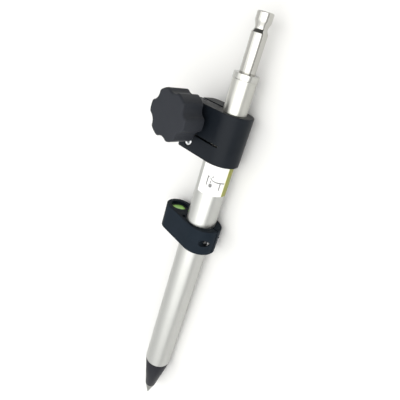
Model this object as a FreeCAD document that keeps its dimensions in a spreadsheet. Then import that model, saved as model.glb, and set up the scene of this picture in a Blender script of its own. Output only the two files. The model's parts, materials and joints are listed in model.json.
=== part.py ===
import FreeCAD, Part
import math
import os
from types import SimpleNamespace

import Sketcher

# Prism pole: a short telescoping pole with a steel point, a two-jaw clamp and a circular level.
# Millimetres. +Z runs up the pole from the point's tip, which is the origin.
# The clamp and the level bracket each reach out along an arm. Arm frame: X out along the arm,
# Y towards the side that the knob and the screw heads are on, Z up the pole.

SIZES = [
    ("point_radius", 5.3, "steel point: radius where it meets its holder"),
    ("point_height", 15.5, "steel point: length of the cone"),
    ("point_tip_radius", 0.25, "steel point: flat at the very tip"),
    ("point_thread_radius", 3.9, "steel point: shank in the holder"),
    ("point_thread_length", 15.0, "steel point: shank length"),
    ("tube_radius", 12.7, "outer tube: outside radius, one inch diameter"),
    ("tube_wall", 1.4, "outer tube: wall"),
    ("tube_bottom", 55.0, "outer tube: lower end, on the holder's shoulder"),
    ("tube_top", 290.0, "outer tube: upper end, under the saw cut in the clamp"),
    ("holder_spigot", 23.0, "point holder: length inside the tube"),
    ("press_gap", 0.05, "gap between two pieces that are pressed or glued together"),
    ("running_gap", 0.07, "gap between two pieces that slide or turn in each other"),
    ("inner_radius", 9.25, "inner tube: outside radius"),
    ("inner_wall", 1.2, "inner tube: wall"),
    ("inner_bottom", 112.0, "inner tube: lower end"),
    ("inner_top", 341.9, "inner tube: upper end, under the head plug's collar"),
    ("collar_radius", 9.65, "head plug: collar radius"),
    ("collar_height", 4.4, "head plug: collar height"),
    ("plug_depth", 20.0, "head plug: length inside the inner tube"),
    ("stub_radius", 6.0, "prism stub: radius"),
    ("stub_top", 387.5, "prism stub: top face"),
    ("stub_thread_radius", 4.0, "prism stub: shank in the head plug"),
    ("groove_bottom", 374.0, "prism stub: sharp lower edge of the latch groove"),
    ("groove_neck", 377.0, "prism stub: narrowest place"),
    ("groove_top", 381.2, "prism stub: upper edge of the latch groove"),
    ("neck_radius", 4.65, "prism stub: radius at the neck"),
    ("bush_length", 24.0, "guide bush: length inside the outer tube"),
    ("bush_flange", 1.4, "guide bush: flange thickness"),
    ("guide_length", 12.0, "guide ring: length"),
    ("cap_flange", 4.2, "inner end cap: flange thickness"),
    ("clip_height", 1.0, "retaining ring: thickness"),
    ("clip_depth", 0.3, "retaining ring: depth of its groove"),
    ("clamp_angle", 143.0, "clamp: direction of its ears, degrees from +X"),
    ("clamp_bottom", 278.0, "clamp: lower face"),
    ("clamp_height", 39.5, "clamp: height"),
    ("clamp_radius", 15.4, "clamp: outside radius and half width"),
    ("clamp_reach", 35.5, "clamp: ear ends, from the pole's axis"),
    ("clamp_bore", 12.75, "clamp: bore radius"),
    ("ear_slot", 3.0, "clamp: slot between the ears"),
    ("saw_bottom", 291.6, "clamp: saw cut between the two jaws"),
    ("saw_height", 1.5, "clamp: thickness of the saw cut"),
    ("knob_reach", 27.0, "knob: its axis, from the pole's axis"),
    ("knob_level", 305.0, "knob: its axis, above the tip"),
    ("knob_radius", 19.5, "knob: radius over the lobes"),
    ("knob_dip_radius", 16.8, "knob: radius at the bottom of a scallop"),
    ("scallop_radius", 7.5, "knob: radius of a scallop"),
    ("scallop_phase", 27.3, "knob: angle of the first scallop"),
    ("knob_back", 21.3, "knob: back of the lobes, out from the pole's axis"),
    ("knob_front", 41.7, "knob: front face, out from the pole's axis"),
    ("hub_radius", 8.5, "knob: hub that meets the washer"),
    ("hub_back", 16.9, "knob: back of the hub"),
    ("stud_radius", 2.95, "knob stud: M6 thread"),
    ("insert_radius", 5.6, "knob insert: radius of the brass core"),
    ("washer_radius", 8.0, "thrust washer: radius"),
    ("pinch_reach", 24.3, "clamp pinch screw: its axis, from the pole's axis"),
    ("pinch_level", 284.8, "clamp pinch screw: its axis, above the tip"),
    ("label_bottom", 252.2, "label: lower edge"),
    ("label_top", 277.6, "label: upper edge"),
    ("label_film", 0.12, "label: thickness"),
    ("bracket_angle", 144.0, "level bracket: direction of its arm, degrees from +X"),
    ("bracket_bottom", 199.6, "level bracket: lower face"),
    ("bracket_top", 222.2, "level bracket: upper face"),
    ("bracket_ring_shift", 3.8, "level bracket: the ring's outside circle leans this far from the arm"),
    ("bracket_ring_radius", 15.5, "level bracket: outside radius of the ring"),
    ("bracket_split", 1.4, "level bracket: slot opposite the arm"),
    ("bracket_split_shift", 1.2, "level bracket: how far the slot lies behind the axis"),
    ("bracket_screw_reach", 15.9, "bracket pinch screw: its axis, from the pole's axis"),
    ("vial_reach", 27.4, "level vial: its axis, from the pole's axis"),
    ("vial_end_radius", 11.4, "level bracket: radius round the vial"),
    ("vial_bore", 7.6, "level bracket: radius of the vial's pocket"),
    ("vial_case_radius", 7.5, "vial case: outside radius"),
    ("vial_radius", 6.4, "vial: radius of the lens"),
    ("vial_floor", 207.5, "level bracket: floor of the vial's pocket"),
    ("vial_case_top", 219.6, "vial case: upper rim"),
    ("vial_screw_circle", 4.6, "vial screws: radius of their circle"),
]

LOBES = 6
VIAL_SCREWS = 3

document = FreeCAD.newDocument("PrismPole")
sheet = document.addObject("Spreadsheet::Sheet", "Sizes")


class Size:
    """A length or angle: its number, and the spreadsheet formula that gives it."""

    def __init__(self, value, formula):
        self.value = float(value)
        self.formula = formula

    def __add__(self, other):
        other = as_size(other)
        return Size(self.value + other.value, f"({self.formula} + {other.formula})")

    def __sub__(self, other):
        other = as_size(other)
        return Size(self.value - other.value, f"({self.formula} - {other.formula})")

    def __mul__(self, other):
        other = as_size(other)
        return Size(self.value * other.value, f"({self.formula} * {other.formula})")

    def __truediv__(self, other):
        other = as_size(other)
        return Size(self.value / other.value, f"({self.formula} / {other.formula})")

    def __neg__(self):
        return Size(-self.value, f"(0 - {self.formula})")

    __radd__ = __add__
    __rmul__ = __mul__

    def __rsub__(self, other):
        return as_size(other) - self


def as_size(number):
    """Turn a plain number into a Size."""
    if isinstance(number, Size):
        return number
    return Size(number, f"{float(number):.6f}")


def fill_sheet():
    """Write every driving size into the sheet and return them by name."""
    found = {}
    for row, (alias, value, meaning) in enumerate(SIZES, start=1):
        sheet.set(f"A{row}", alias)
        sheet.set(f"B{row}", str(value))
        sheet.setAlias(f"B{row}", alias)
        sheet.set(f"C{row}", meaning)
        found[alias] = Size(value, f"Sizes.{alias}")
    document.recompute()
    return SimpleNamespace(**found)


size = fill_sheet()


# Sketches and features

def new_body(label):
    """An empty body whose label is the node's name."""
    body = document.addObject("PartDesign::Body", label)
    body.Label = label
    return body


def new_sketch(body, name, role="XY_Plane", level=0.0):
    """A sketch on one of the body's own origin planes, moved along the plane's normal."""
    sketch = body.newObject("Sketcher::SketchObject", f"{body.Label}_{name}")
    plane = next(item for item in body.Origin.OriginFeatures if item.Role == role)
    sketch.AttachmentSupport = (plane, [""])
    sketch.MapMode = "FlatFace"
    sketch.setExpression("AttachmentOffset.Base.z", as_size(level).formula)
    return sketch


def fix_point(sketch, curve, point, across, along):
    """Tie a sketch point to the origin by two sizes."""
    for kind, axis, distance in (("DistanceX", -2, across), ("DistanceY", -1, along)):
        distance = as_size(distance)
        if distance.value == 0.0:
            sketch.addConstraint(Sketcher.Constraint("PointOnObject", curve, point, axis))
            continue
        index = sketch.addConstraint(Sketcher.Constraint(kind, -1, 1, curve, point, distance.value))
        sketch.setExpression(f"Constraints[{index}]", distance.formula)


def polygon(sketch, corners):
    """A closed outline whose corners are all tied to sizes."""
    corners = [(as_size(across), as_size(along)) for across, along in corners]
    places = [FreeCAD.Vector(across.value, along.value, 0.0) for across, along in corners]
    edges = []
    for start, end in zip(places, places[1:] + places[:1]):
        edges.append(sketch.addGeometry(Part.LineSegment(start, end), False))
    for edge, following in zip(edges, edges[1:] + edges[:1]):
        sketch.addConstraint(Sketcher.Constraint("Coincident", edge, 2, following, 1))
    for edge, (across, along) in zip(edges, corners):
        fix_point(sketch, edge, 1, across, along)


def circle(sketch, radius, across=0.0, along=0.0):
    """A circle whose centre and radius are tied to sizes."""
    radius, across, along = as_size(radius), as_size(across), as_size(along)
    centre = FreeCAD.Vector(across.value, along.value, 0.0)
    curve = sketch.addGeometry(Part.Circle(centre, FreeCAD.Vector(0, 0, 1), radius.value), False)
    fix_point(sketch, curve, 3, across, along)
    index = sketch.addConstraint(Sketcher.Constraint("Radius", curve, radius.value))
    sketch.setExpression(f"Constraints[{index}]", radius.formula)


def rectangle(sketch, low_across, high_across, low_along, high_along):
    """An upright rectangle."""
    polygon(sketch, [(low_across, low_along), (high_across, low_along),
                     (high_across, high_along), (low_across, high_along)])


def pad(body, sketch, length):
    """Push a sketch out along its normal."""
    feature = body.newObject("PartDesign::Pad", f"{sketch.Name}_pad")
    feature.Profile = sketch
    feature.setExpression("Length", as_size(length).formula)
    document.recompute()
    return feature


def cut(body, sketch, length, forward=True):
    """Cut a sketch out of the body, along its normal when forward, and check that it did cut."""
    before = body.Shape.Volume
    feature = body.newObject("PartDesign::Pocket", f"{sketch.Name}_cut")
    feature.Profile = sketch
    feature.Reversed = forward
    feature.setExpression("Length", as_size(length).formula)
    document.recompute()
    if not body.Shape.Volume < before - 0.01:
        raise RuntimeError(f"{feature.Name} cuts nothing")
    return feature


def edge_names(shape, wanted):
    """The names of the edges that a test picks."""
    return [f"Edge{number}" for number, edge in enumerate(shape.Edges, start=1) if wanted(edge)]


def dress(body, kind, name, width, wanted):
    """Fillet or chamfer the edges of the body's last feature that a test picks."""
    base = body.Tip
    feature = body.newObject(f"PartDesign::{kind}", f"{body.Label}_{name}")
    feature.Base = (base, edge_names(base.Shape, wanted))
    setattr(feature, "Radius" if kind == "Fillet" else "Size", width)
    document.recompute()
    return feature


def lies_level(edge, height):
    """True for an edge whose every point is at one height."""
    box = edge.BoundBox
    return abs(box.ZMin - height) < 1e-4 and abs(box.ZMax - height) < 1e-4


def stands_at(edge, across, along):
    """True for an upright edge at one place."""
    box = edge.BoundBox
    upright = box.XLength < 1e-4 and box.YLength < 1e-4
    return upright and abs(box.XMin - across) < 1e-3 and abs(box.YMin - along) < 1e-3


def polar_copy(body, feature, count):
    """Repeat a feature round the body's Z axis."""
    pattern = body.newObject("PartDesign::PolarPattern", f"{feature.Name}_ring")
    axis = next(item for item in body.Origin.OriginFeatures if item.Role == "Z_Axis")
    pattern.Originals = [feature]
    pattern.Axis = (axis, [""])
    pattern.Angle = 360
    pattern.Occurrences = count
    body.Tip = pattern
    document.recompute()
    return pattern


def turned(label, profile, angle=360.0):
    """A piece turned round Z from its half section, given as (radius, height) corners."""
    body = new_body(label)
    sketch = new_sketch(body, "section", "XZ_Plane")
    polygon(sketch, profile)
    feature = body.newObject("PartDesign::Revolution", f"{label}_turn")
    feature.Profile = sketch
    feature.ReferenceAxis = (sketch, ["V_Axis"])
    feature.Angle = angle
    document.recompute()
    return body


def ring(label, inner, outer, bottom, top):
    """A plain turned ring."""
    return turned(label, [(inner, bottom), (outer, bottom), (outer, top), (inner, top)])


def hexagon(sketch, across_flats):
    """A hexagon about the origin."""
    corner = as_size(across_flats) / math.sqrt(3.0)
    turns = [math.radians(60.0 * index) for index in range(6)]
    polygon(sketch, [(corner * math.cos(turn), corner * math.sin(turn)) for turn in turns])


def turn_to(body, angle):
    """Turn a piece about the pole's axis."""
    body.setExpression("Placement.Rotation.Angle", angle.formula)
    body.Placement = FreeCAD.Placement(FreeCAD.Vector(), FreeCAD.Rotation(FreeCAD.Vector(0, 0, 1), angle.value))


def place_on_arm(body, angle, reach, across, level, lay_down):
    """Put a piece at a place in an arm's frame. Laid down, its own Z points across the arm."""
    reach, across, level = as_size(reach), as_size(across), as_size(level)
    cosine = Size(math.cos(math.radians(angle.value)), f"cos({angle.formula})")
    sine = Size(math.sin(math.radians(angle.value)), f"sin({angle.formula})")
    east = reach * cosine - across * sine
    north = reach * sine + across * cosine
    swing = FreeCAD.Rotation(FreeCAD.Vector(0, 0, 1), angle.value)
    tip_over = FreeCAD.Rotation(FreeCAD.Vector(1, 0, 0), -90.0 if lay_down else 0.0)
    base = FreeCAD.Vector(east.value, north.value, level.value)
    body.Placement = FreeCAD.Placement(base, swing * tip_over)
    body.setExpression("Placement.Base.x", east.formula)
    body.setExpression("Placement.Base.y", north.formula)
    body.setExpression("Placement.Base.z", level.formula)


def cap_screw(label, head_radius, head_height, shank_radius, shank_length, socket_flats):
    """A socket cap screw: Z out of its head, origin under the head."""
    edge = 0.25
    body = turned(label, [
        (0, -as_size(shank_length)),
        (as_size(shank_radius) - edge, -as_size(shank_length)),
        (shank_radius, edge - as_size(shank_length)),
        (shank_radius, 0),
        (head_radius, 0),
        (head_radius, as_size(head_height) - edge),
        (as_size(head_radius) - edge, head_height),
        (0, head_height),
    ])
    socket = new_sketch(body, "socket", level=head_height)
    hexagon(socket, socket_flats)
    cut(body, socket, as_size(head_height) * 0.55, forward=False)
    return body


# The fixed lower part

tube_bore = size.tube_radius - size.tube_wall
spigot_radius = tube_bore - size.press_gap
clamp_top = size.clamp_bottom + size.clamp_height


def steel_point():
    """Ground steel point with the shank that screws into its holder."""
    return turned("steel_point", [
        (0, 0),
        (size.point_tip_radius, 0),
        (size.point_radius, size.point_height),
        (size.point_thread_radius, size.point_height),
        (size.point_thread_radius, size.point_height + size.point_thread_length),
        (0, size.point_height + size.point_thread_length),
    ])


def point_holder():
    """Tapered holder between the steel point and the tube, with a spigot inside the tube."""
    lead = 1.0
    hole = size.point_thread_radius + size.press_gap
    hole_end = size.point_height + size.point_thread_length + 1.0
    spigot_end = size.tube_bottom + size.holder_spigot
    return turned("point_holder", [
        (hole, size.point_height),
        (size.point_radius, size.point_height),
        (size.tube_radius, size.tube_bottom),
        (spigot_radius, size.tube_bottom),
        (spigot_radius, spigot_end - lead),
        (spigot_radius - lead, spigot_end),
        (0, spigot_end),
        (0, hole_end),
        (hole, hole_end),
    ])


def outer_tube():
    """Outer tube, padded from a ring."""
    body = new_body("outer_tube")
    section = new_sketch(body, "section", level=size.tube_bottom)
    circle(section, size.tube_radius)
    circle(section, tube_bore)
    pad(body, section, size.tube_top - size.tube_bottom)
    return body


def guide_bush():
    """Flanged plastic bush in the tube's upper end, which the inner tube runs in."""
    bore = size.inner_radius + size.running_gap
    flange_radius = size.tube_radius - 0.1
    return turned("guide_bush", [
        (bore, size.tube_top - size.bush_length),
        (spigot_radius, size.tube_top - size.bush_length),
        (spigot_radius, size.tube_top),
        (flange_radius, size.tube_top),
        (flange_radius, size.tube_top + size.bush_flange),
        (bore, size.tube_top + size.bush_flange),
    ])


def clamp_body():
    """Two-jaw clamp: a round body with two ears, a slot between them and a saw cut across them."""
    body = new_body("clamp_body")
    round_part = new_sketch(body, "round", level=size.clamp_bottom)
    circle(round_part, size.clamp_radius)
    pad(body, round_part, size.clamp_height)
    ears = new_sketch(body, "ears", level=size.clamp_bottom)
    rectangle(ears, 0, size.clamp_reach, -size.clamp_radius, size.clamp_radius)
    pad(body, ears, size.clamp_height)

    reach, half_width = size.clamp_reach.value, size.clamp_radius.value
    dress(body, "Fillet", "far_corner", 5.0, lambda edge: stands_at(edge, reach, -half_width))
    dress(body, "Fillet", "near_corner", 3.2, lambda edge: stands_at(edge, reach, half_width))
    levels = (size.clamp_bottom.value, clamp_top.value)
    dress(body, "Chamfer", "rims", 0.4, lambda edge: any(lies_level(edge, level) for level in levels))

    bore = new_sketch(body, "bore", level=size.clamp_bottom - 1)
    circle(bore, size.clamp_bore)
    cut(body, bore, size.clamp_height + 2)
    slot = new_sketch(body, "slot", level=size.clamp_bottom - 1)
    rectangle(slot, 8, size.clamp_reach + 5, -size.ear_slot / 2, size.ear_slot / 2)
    cut(body, slot, size.clamp_height + 2)
    saw = new_sketch(body, "saw", level=size.saw_bottom)
    rectangle(saw, -5, size.clamp_reach + 5, -size.clamp_radius - 5, size.clamp_radius + 5)
    cut(body, saw, size.saw_height)

    far_face, near_face = -size.clamp_radius, size.clamp_radius
    for name, radius, reach, level, start, end in (
        ("stud_hole", 3.3, size.knob_reach, size.knob_level, 0.0, near_face + 1),
        ("bush_hole", 4.05, size.knob_reach, size.knob_level, far_face - 1, 0.0),
        ("pinch_hole", 2.25, size.pinch_reach, size.pinch_level, 0.0, near_face + 1),
        ("pinch_thread", 2.03, size.pinch_reach, size.pinch_level, far_face + 1.2, 0.0),
        ("pinch_counterbore", 4.0, size.pinch_reach, size.pinch_level, near_face - 4.6, near_face + 1),
    ):
        hole = new_sketch(body, name, "XZ_Plane", level=-as_size(start))
        circle(hole, radius, reach, level)
        cut(body, hole, as_size(end) - start, forward=False)
    keeper = new_sketch(body, "keeper_hole", level=size.knob_level)
    circle(keeper, 1.5, size.knob_reach, keeper_across)
    cut(body, keeper, clamp_top - size.knob_level + 1)
    turn_to(body, size.clamp_angle)
    return body


keeper_across = size.ear_slot / 2 + 3.8


def grip_sleeve():
    """Split plastic sleeve between the upper jaw and the inner tube."""
    bottom = size.saw_bottom + size.saw_height + 0.1
    body = ring("grip_sleeve", size.inner_radius + size.running_gap, size.clamp_bore - size.press_gap,
                bottom, clamp_top - 0.2)
    split = new_sketch(body, "split", level=bottom - 1)
    rectangle(split, 4, 20, -1.2, 1.2)
    cut(body, split, clamp_top - bottom + 2)
    turn_to(body, size.clamp_angle)
    return body


def clamp_bush():
    """Flanged threaded bush pressed in the far ear, which the knob's stud screws into."""
    flange = 1.2
    length = size.clamp_radius - size.ear_slot / 2
    body = turned("clamp_bush", [
        (size.stud_radius + size.running_gap, -flange),
        (5.5, -flange),
        (5.5, 0),
        (4.0, 0),
        (4.0, length),
        (size.stud_radius + size.running_gap, length),
    ])
    place_on_arm(body, size.clamp_angle, size.knob_reach, -size.clamp_radius, size.knob_level, True)
    return body


def clamp_pinch_screw():
    """Bright M4 socket screw that fixes the lower jaw on the outer tube."""
    body = cap_screw("clamp_pinch_screw", 3.5, 4.0, 1.95, 23.0, 3.0)
    place_on_arm(body, size.clamp_angle, size.pinch_reach, size.clamp_radius - 4.5, size.pinch_level, True)
    return body


def stud_keeper():
    """Set screw in the near ear's top edge. Its nose sits in the stud's groove and keeps the knob on."""
    nose = size.stud_radius - 0.4
    body = turned("stud_keeper", [
        (0, nose),
        (0.9, nose),
        (0.9, 3.4),
        (1.45, 4.0),
        (1.45, clamp_top - size.knob_level - 0.4),
        (0, clamp_top - size.knob_level - 0.4),
    ])
    socket = new_sketch(body, "socket", level=clamp_top - size.knob_level - 0.4)
    hexagon(socket, 1.5)
    cut(body, socket, 1.6, forward=False)
    place_on_arm(body, size.clamp_angle, size.knob_reach, keeper_across, size.knob_level, False)
    return body


def tube_label():
    """Printed film wrapped most of the way round the tube under the clamp."""
    inner = size.tube_radius + 0.01
    sweep = 230.0
    right_edge = -12.0
    body = turned("tube_label", [
        (inner, size.label_bottom),
        (inner + size.label_film, size.label_bottom),
        (inner + size.label_film, size.label_top),
        (inner, size.label_top),
    ], sweep)
    start = right_edge - sweep if body.Shape.CenterOfMass.y > 0 else right_edge
    body.Placement = FreeCAD.Placement(FreeCAD.Vector(), FreeCAD.Rotation(FreeCAD.Vector(0, 0, 1), start))
    return body


# The level

vial_lens_bottom = size.vial_case_top - 2.4
vial_lens_top = size.vial_case_top - 0.4
vial_inside = size.vial_floor + 2.3
bubble_radius = 1.7
bubble_height = 0.6


def level_bracket():
    """Split bracket: a ring on the tube, thicker opposite the arm, and a round end for the vial."""
    body = new_body("level_bracket")
    height = size.bracket_top - size.bracket_bottom
    ring_part = new_sketch(body, "ring", level=size.bracket_bottom)
    circle(ring_part, size.bracket_ring_radius, -size.bracket_ring_shift, 0)
    pad(body, ring_part, height)
    vial_part = new_sketch(body, "vial_end", level=size.bracket_bottom)
    circle(vial_part, size.vial_end_radius, size.vial_reach, 0)
    pad(body, vial_part, height)
    span = size.vial_reach + size.bracket_ring_shift
    lean = (size.bracket_ring_radius - size.vial_end_radius).value / span.value
    rise = math.sqrt(1.0 - lean * lean)
    ring_across = size.bracket_ring_radius * lean - size.bracket_ring_shift
    end_across = size.vial_end_radius * lean + size.vial_reach
    web = new_sketch(body, "web", level=size.bracket_bottom)
    polygon(web, [
        (ring_across, -size.bracket_ring_radius * rise),
        (end_across, -size.vial_end_radius * rise),
        (end_across, size.vial_end_radius * rise),
        (ring_across, size.bracket_ring_radius * rise),
    ])
    pad(body, web, height)
    levels = (size.bracket_bottom.value, size.bracket_top.value)
    dress(body, "Chamfer", "rims", 0.4, lambda edge: any(lies_level(edge, level) for level in levels))

    bore = new_sketch(body, "bore", level=size.bracket_bottom - 1)
    circle(bore, size.tube_radius + size.press_gap)
    cut(body, bore, height + 2)
    split = new_sketch(body, "split", level=size.bracket_bottom - 1)
    split_low = -size.bracket_split_shift - size.bracket_split / 2
    rectangle(split, -25, -8, split_low, split_low + size.bracket_split)
    cut(body, split, height + 2)
    pocket = new_sketch(body, "vial_pocket", level=size.vial_floor)
    circle(pocket, size.vial_bore, size.vial_reach, 0)
    cut(body, pocket, size.bracket_top - size.vial_floor + 1)
    under = new_sketch(body, "under_pocket", level=size.bracket_bottom - 1)
    circle(under, size.vial_bore, size.vial_reach, 0)
    cut(body, under, size.vial_floor - size.bracket_bottom - 2)
    screw_holes = new_sketch(body, "vial_screw_holes", level=size.bracket_bottom)
    for across, along in vial_screw_places():
        circle(screw_holes, 1.15, size.vial_reach + across, along)
    cut(body, screw_holes, size.vial_floor - size.bracket_bottom + 1)
    blind = new_sketch(body, "blind_hole", level=size.bracket_top - 6)
    circle(blind, 1.6, 11.2, 9.9)
    cut(body, blind, 7)

    middle = (size.bracket_bottom + size.bracket_top) / 2
    for name, radius, start, end in (
        ("screw_thread", 1.55, -11.0, -1.0),
        ("screw_hole", 1.7, -1.5, 8.0),
        ("screw_counterbore", 3.0, bracket_screw_seat, 18.0),
    ):
        hole = new_sketch(body, name, "XZ_Plane", level=-start)
        circle(hole, radius, -size.bracket_screw_reach, middle)
        cut(body, hole, end - start, forward=False)
    turn_to(body, size.bracket_angle)
    return body


bracket_screw_seat = 3.6


def vial_screw_places():
    """Centres of the vial screws, about the vial's axis."""
    turns = [math.radians(360.0 * index / VIAL_SCREWS) for index in range(VIAL_SCREWS)]
    return [(size.vial_screw_circle * math.cos(turn), size.vial_screw_circle * math.sin(turn)) for turn in turns]


def bracket_pinch_screw():
    """Black M3 socket screw that closes the bracket on the tube."""
    body = cap_screw("bracket_pinch_screw", 2.7, 3.0, 1.5, 14.0, 2.5)
    middle = (size.bracket_bottom + size.bracket_top) / 2
    place_on_arm(body, size.bracket_angle, -size.bracket_screw_reach, bracket_screw_seat, middle, True)
    return body


def on_vial_axis(body):
    """Move a piece that was turned about the pole's axis out to the vial's axis."""
    place_on_arm(body, size.bracket_angle, size.vial_reach, 0, 0, False)
    return body


def vial_case():
    """Cup that holds the vial, screwed down on the pocket's floor."""
    body = turned("vial_case", [
        (0, size.vial_floor + 0.05),
        (size.vial_case_radius, size.vial_floor + 0.05),
        (size.vial_case_radius, size.vial_case_top - 0.3),
        (size.vial_case_radius - 0.3, size.vial_case_top),
        (size.vial_radius + size.press_gap, size.vial_case_top),
        (size.vial_radius + size.press_gap, vial_inside),
        (0, vial_inside),
    ])
    threads = new_sketch(body, "threads", level=size.vial_floor - 1)
    for across, along in vial_screw_places():
        circle(threads, 1.0, across, along)
    cut(body, threads, 2.9)
    return on_vial_axis(body)


def vial_base():
    """Pale disc under the liquid."""
    body = turned("vial_base", [
        (0, vial_inside),
        (size.vial_radius, vial_inside),
        (size.vial_radius, vial_inside + 0.6),
        (0, vial_inside + 0.6),
    ])
    return on_vial_axis(body)


def vial_seal():
    """Ring that seals the lens."""
    body = ring("vial_seal", size.vial_radius - 0.8, size.vial_radius, vial_lens_bottom - 0.8, vial_lens_bottom)
    return on_vial_axis(body)


def vial_lens():
    """Clear lens over the liquid."""
    edge = 0.3
    body = turned("vial_lens", [
        (0, vial_lens_bottom),
        (size.vial_radius, vial_lens_bottom),
        (size.vial_radius, vial_lens_top - edge),
        (size.vial_radius - edge, vial_lens_top),
        (0, vial_lens_top),
    ])
    return on_vial_axis(body)


def vial_liquid():
    """Green liquid, with the hollow that the bubble fills."""
    body = turned("vial_liquid", [
        (0, vial_inside + 0.6),
        (size.vial_radius, vial_inside + 0.6),
        (size.vial_radius, vial_lens_bottom - 0.8),
        (size.vial_radius - 0.8, vial_lens_bottom - 0.8),
        (size.vial_radius - 0.8, vial_lens_bottom),
        (bubble_radius, vial_lens_bottom),
        (bubble_radius, vial_lens_bottom - bubble_height),
        (0, vial_lens_bottom - bubble_height),
    ])
    return on_vial_axis(body)


def vial_bubble():
    """Air bubble under the lens."""
    edge = 0.2
    body = turned("vial_bubble", [
        (0, vial_lens_bottom - bubble_height),
        (bubble_radius - edge, vial_lens_bottom - bubble_height),
        (bubble_radius, vial_lens_bottom - bubble_height + edge),
        (bubble_radius, vial_lens_bottom),
        (0, vial_lens_bottom),
    ])
    return on_vial_axis(body)


def vial_screws():
    """Three small screws from under the bracket, which hold and tilt the vial case."""
    seat = size.vial_floor - 3.0
    screws = []
    for index, (across, along) in enumerate(vial_screw_places()):
        screw = document.addObject("Part::MultiFuse", f"vial_screw_{index + 1}")
        pieces = []
        for name, radius, bottom, height in (("head", 1.9, seat - 1.5, 1.5), ("shank", 0.95, seat - 0.1, 4.8)):
            piece = document.addObject("Part::Cylinder", f"vial_screw_{name}_{index + 1}")
            piece.Radius = radius
            piece.Height = height
            place_on_arm(piece, size.bracket_angle, size.vial_reach + across, along, bottom, False)
            pieces.append(piece)
        screw.Shapes = pieces
        screws.append(screw)
    group = document.addObject("Part::Compound", "vial_screws")
    group.Links = screws
    group.Label = "vial_screws"
    document.recompute()
    return group


# The clamp knob

def knob():
    """Six-lobed moulding: scalloped rim, hub at the back, cored out behind the lobes."""
    body = new_body("knob")
    depth = size.knob_front - size.knob_back
    disc = new_sketch(body, "disc", level=size.knob_back - size.hub_back)
    circle(disc, size.knob_radius)
    pad(body, disc, depth)
    scallop = new_sketch(body, "scallop", level=size.knob_back - size.hub_back - 1)
    reach = size.knob_dip_radius + size.scallop_radius
    phase = math.radians(size.scallop_phase.value)
    circle(scallop, size.scallop_radius, reach * math.cos(phase), reach * math.sin(phase))
    polar_copy(body, cut(body, scallop, depth + 2), LOBES)

    top = (size.knob_front - size.hub_back).value
    bottom = (size.knob_back - size.hub_back).value

    def is_cusp(edge):
        """Upright edges between a scallop and a lobe."""
        box = edge.BoundBox
        return box.XLength < 1e-4 and box.YLength < 1e-4 and box.ZLength > 1.0 and box.Center.z > bottom

    dress(body, "Fillet", "lobe_sides", 3.0, is_cusp)
    dress(body, "Fillet", "front_rim", 1.6, lambda edge: lies_level(edge, top))
    dress(body, "Fillet", "back_rim", 0.8, lambda edge: lies_level(edge, bottom))

    core = new_sketch(body, "core", level=bottom - 1)
    circle(core, 14.0)
    circle(core, size.hub_radius + 0.5)
    cut(body, core, 12.0)
    hub = new_sketch(body, "hub")
    circle(hub, size.hub_radius)
    pad(body, hub, bottom + 2)
    rib = new_sketch(body, "rib", level=bottom + 1.5)
    rectangle(rib, size.hub_radius - 1, 15, -0.9, 0.9)
    polar_copy(body, pad(body, rib, 10.5), LOBES)
    bore = new_sketch(body, "bore", level=-1)
    circle(bore, size.insert_radius + size.press_gap)
    cut(body, bore, 18.0)
    recess = new_sketch(body, "face_recess", level=top)
    circle(recess, 8.6)
    cut(body, recess, 0.35, forward=False)
    place_on_arm(body, size.clamp_angle, size.knob_reach, size.hub_back, size.knob_level, True)
    return body


def knob_insert():
    """Brass core moulded into the knob, with the blind hole that holds the stud."""
    hole = size.stud_radius + size.press_gap
    body = turned("knob_insert", [
        (hole, 0.05),
        (size.insert_radius, 0.05),
        (size.insert_radius, 5.0),
        (size.insert_radius - 0.7, 5.7),
        (size.insert_radius - 0.7, 9.0),
        (size.insert_radius, 9.7),
        (size.insert_radius, 16.5),
        (0, 16.5),
        (0, 14.2),
        (hole, 14.2),
    ])
    place_on_arm(body, size.clamp_angle, size.knob_reach, size.hub_back, size.knob_level, True)
    return body


def knob_stud():
    """M6 stud from the knob through both ears, with the groove that the set screw sits in."""
    end = -size.clamp_radius - 0.6
    groove_start, groove_end, groove_radius = 2.6, 7.0, 2.4
    body = turned("knob_stud", [
        (0, end),
        (size.stud_radius - 0.8, end),
        (size.stud_radius, end + 0.8),
        (size.stud_radius, groove_start),
        (groove_radius, groove_start),
        (groove_radius, groove_end),
        (size.stud_radius, groove_end),
        (size.stud_radius, size.hub_back + 14.0),
        (0, size.hub_back + 14.0),
    ])
    place_on_arm(body, size.clamp_angle, size.knob_reach, 0, size.knob_level, True)
    return body


def thrust_washer():
    """Steel washer between the knob's hub and the near ear."""
    body = ring("thrust_washer", size.stud_radius + 0.25, size.washer_radius, 0.05, 1.45)
    place_on_arm(body, size.clamp_angle, size.knob_reach, size.clamp_radius, size.knob_level, True)
    return body


# The telescoping part

plug_radius = size.inner_radius - size.inner_wall - size.press_gap
collar_top = size.inner_top + size.collar_height
clip_bottom = size.inner_bottom + 0.2 + size.guide_length + 0.2


def inner_tube():
    """Inner tube, with the groove of its retaining ring near the lower end."""
    body = ring("inner_tube", size.inner_radius - size.inner_wall, size.inner_radius,
                size.inner_bottom, size.inner_top)
    groove = new_sketch(body, "clip_groove", level=clip_bottom - 0.05)
    circle(groove, size.inner_radius + 1)
    circle(groove, size.inner_radius - size.clip_depth)
    cut(body, groove, size.clip_height + 0.1)
    return body


def head_plug():
    """Plug in the inner tube's upper end, with the collar and the stub's threaded hole."""
    edge = 0.35
    hole = size.stub_thread_radius + size.press_gap
    return turned("head_plug", [
        (hole, size.inner_top - size.plug_depth),
        (plug_radius, size.inner_top - size.plug_depth),
        (plug_radius, size.inner_top),
        (size.collar_radius - edge, size.inner_top),
        (size.collar_radius, size.inner_top + edge),
        (size.collar_radius, collar_top - edge),
        (size.collar_radius - edge, collar_top),
        (hole, collar_top),
    ])


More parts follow.
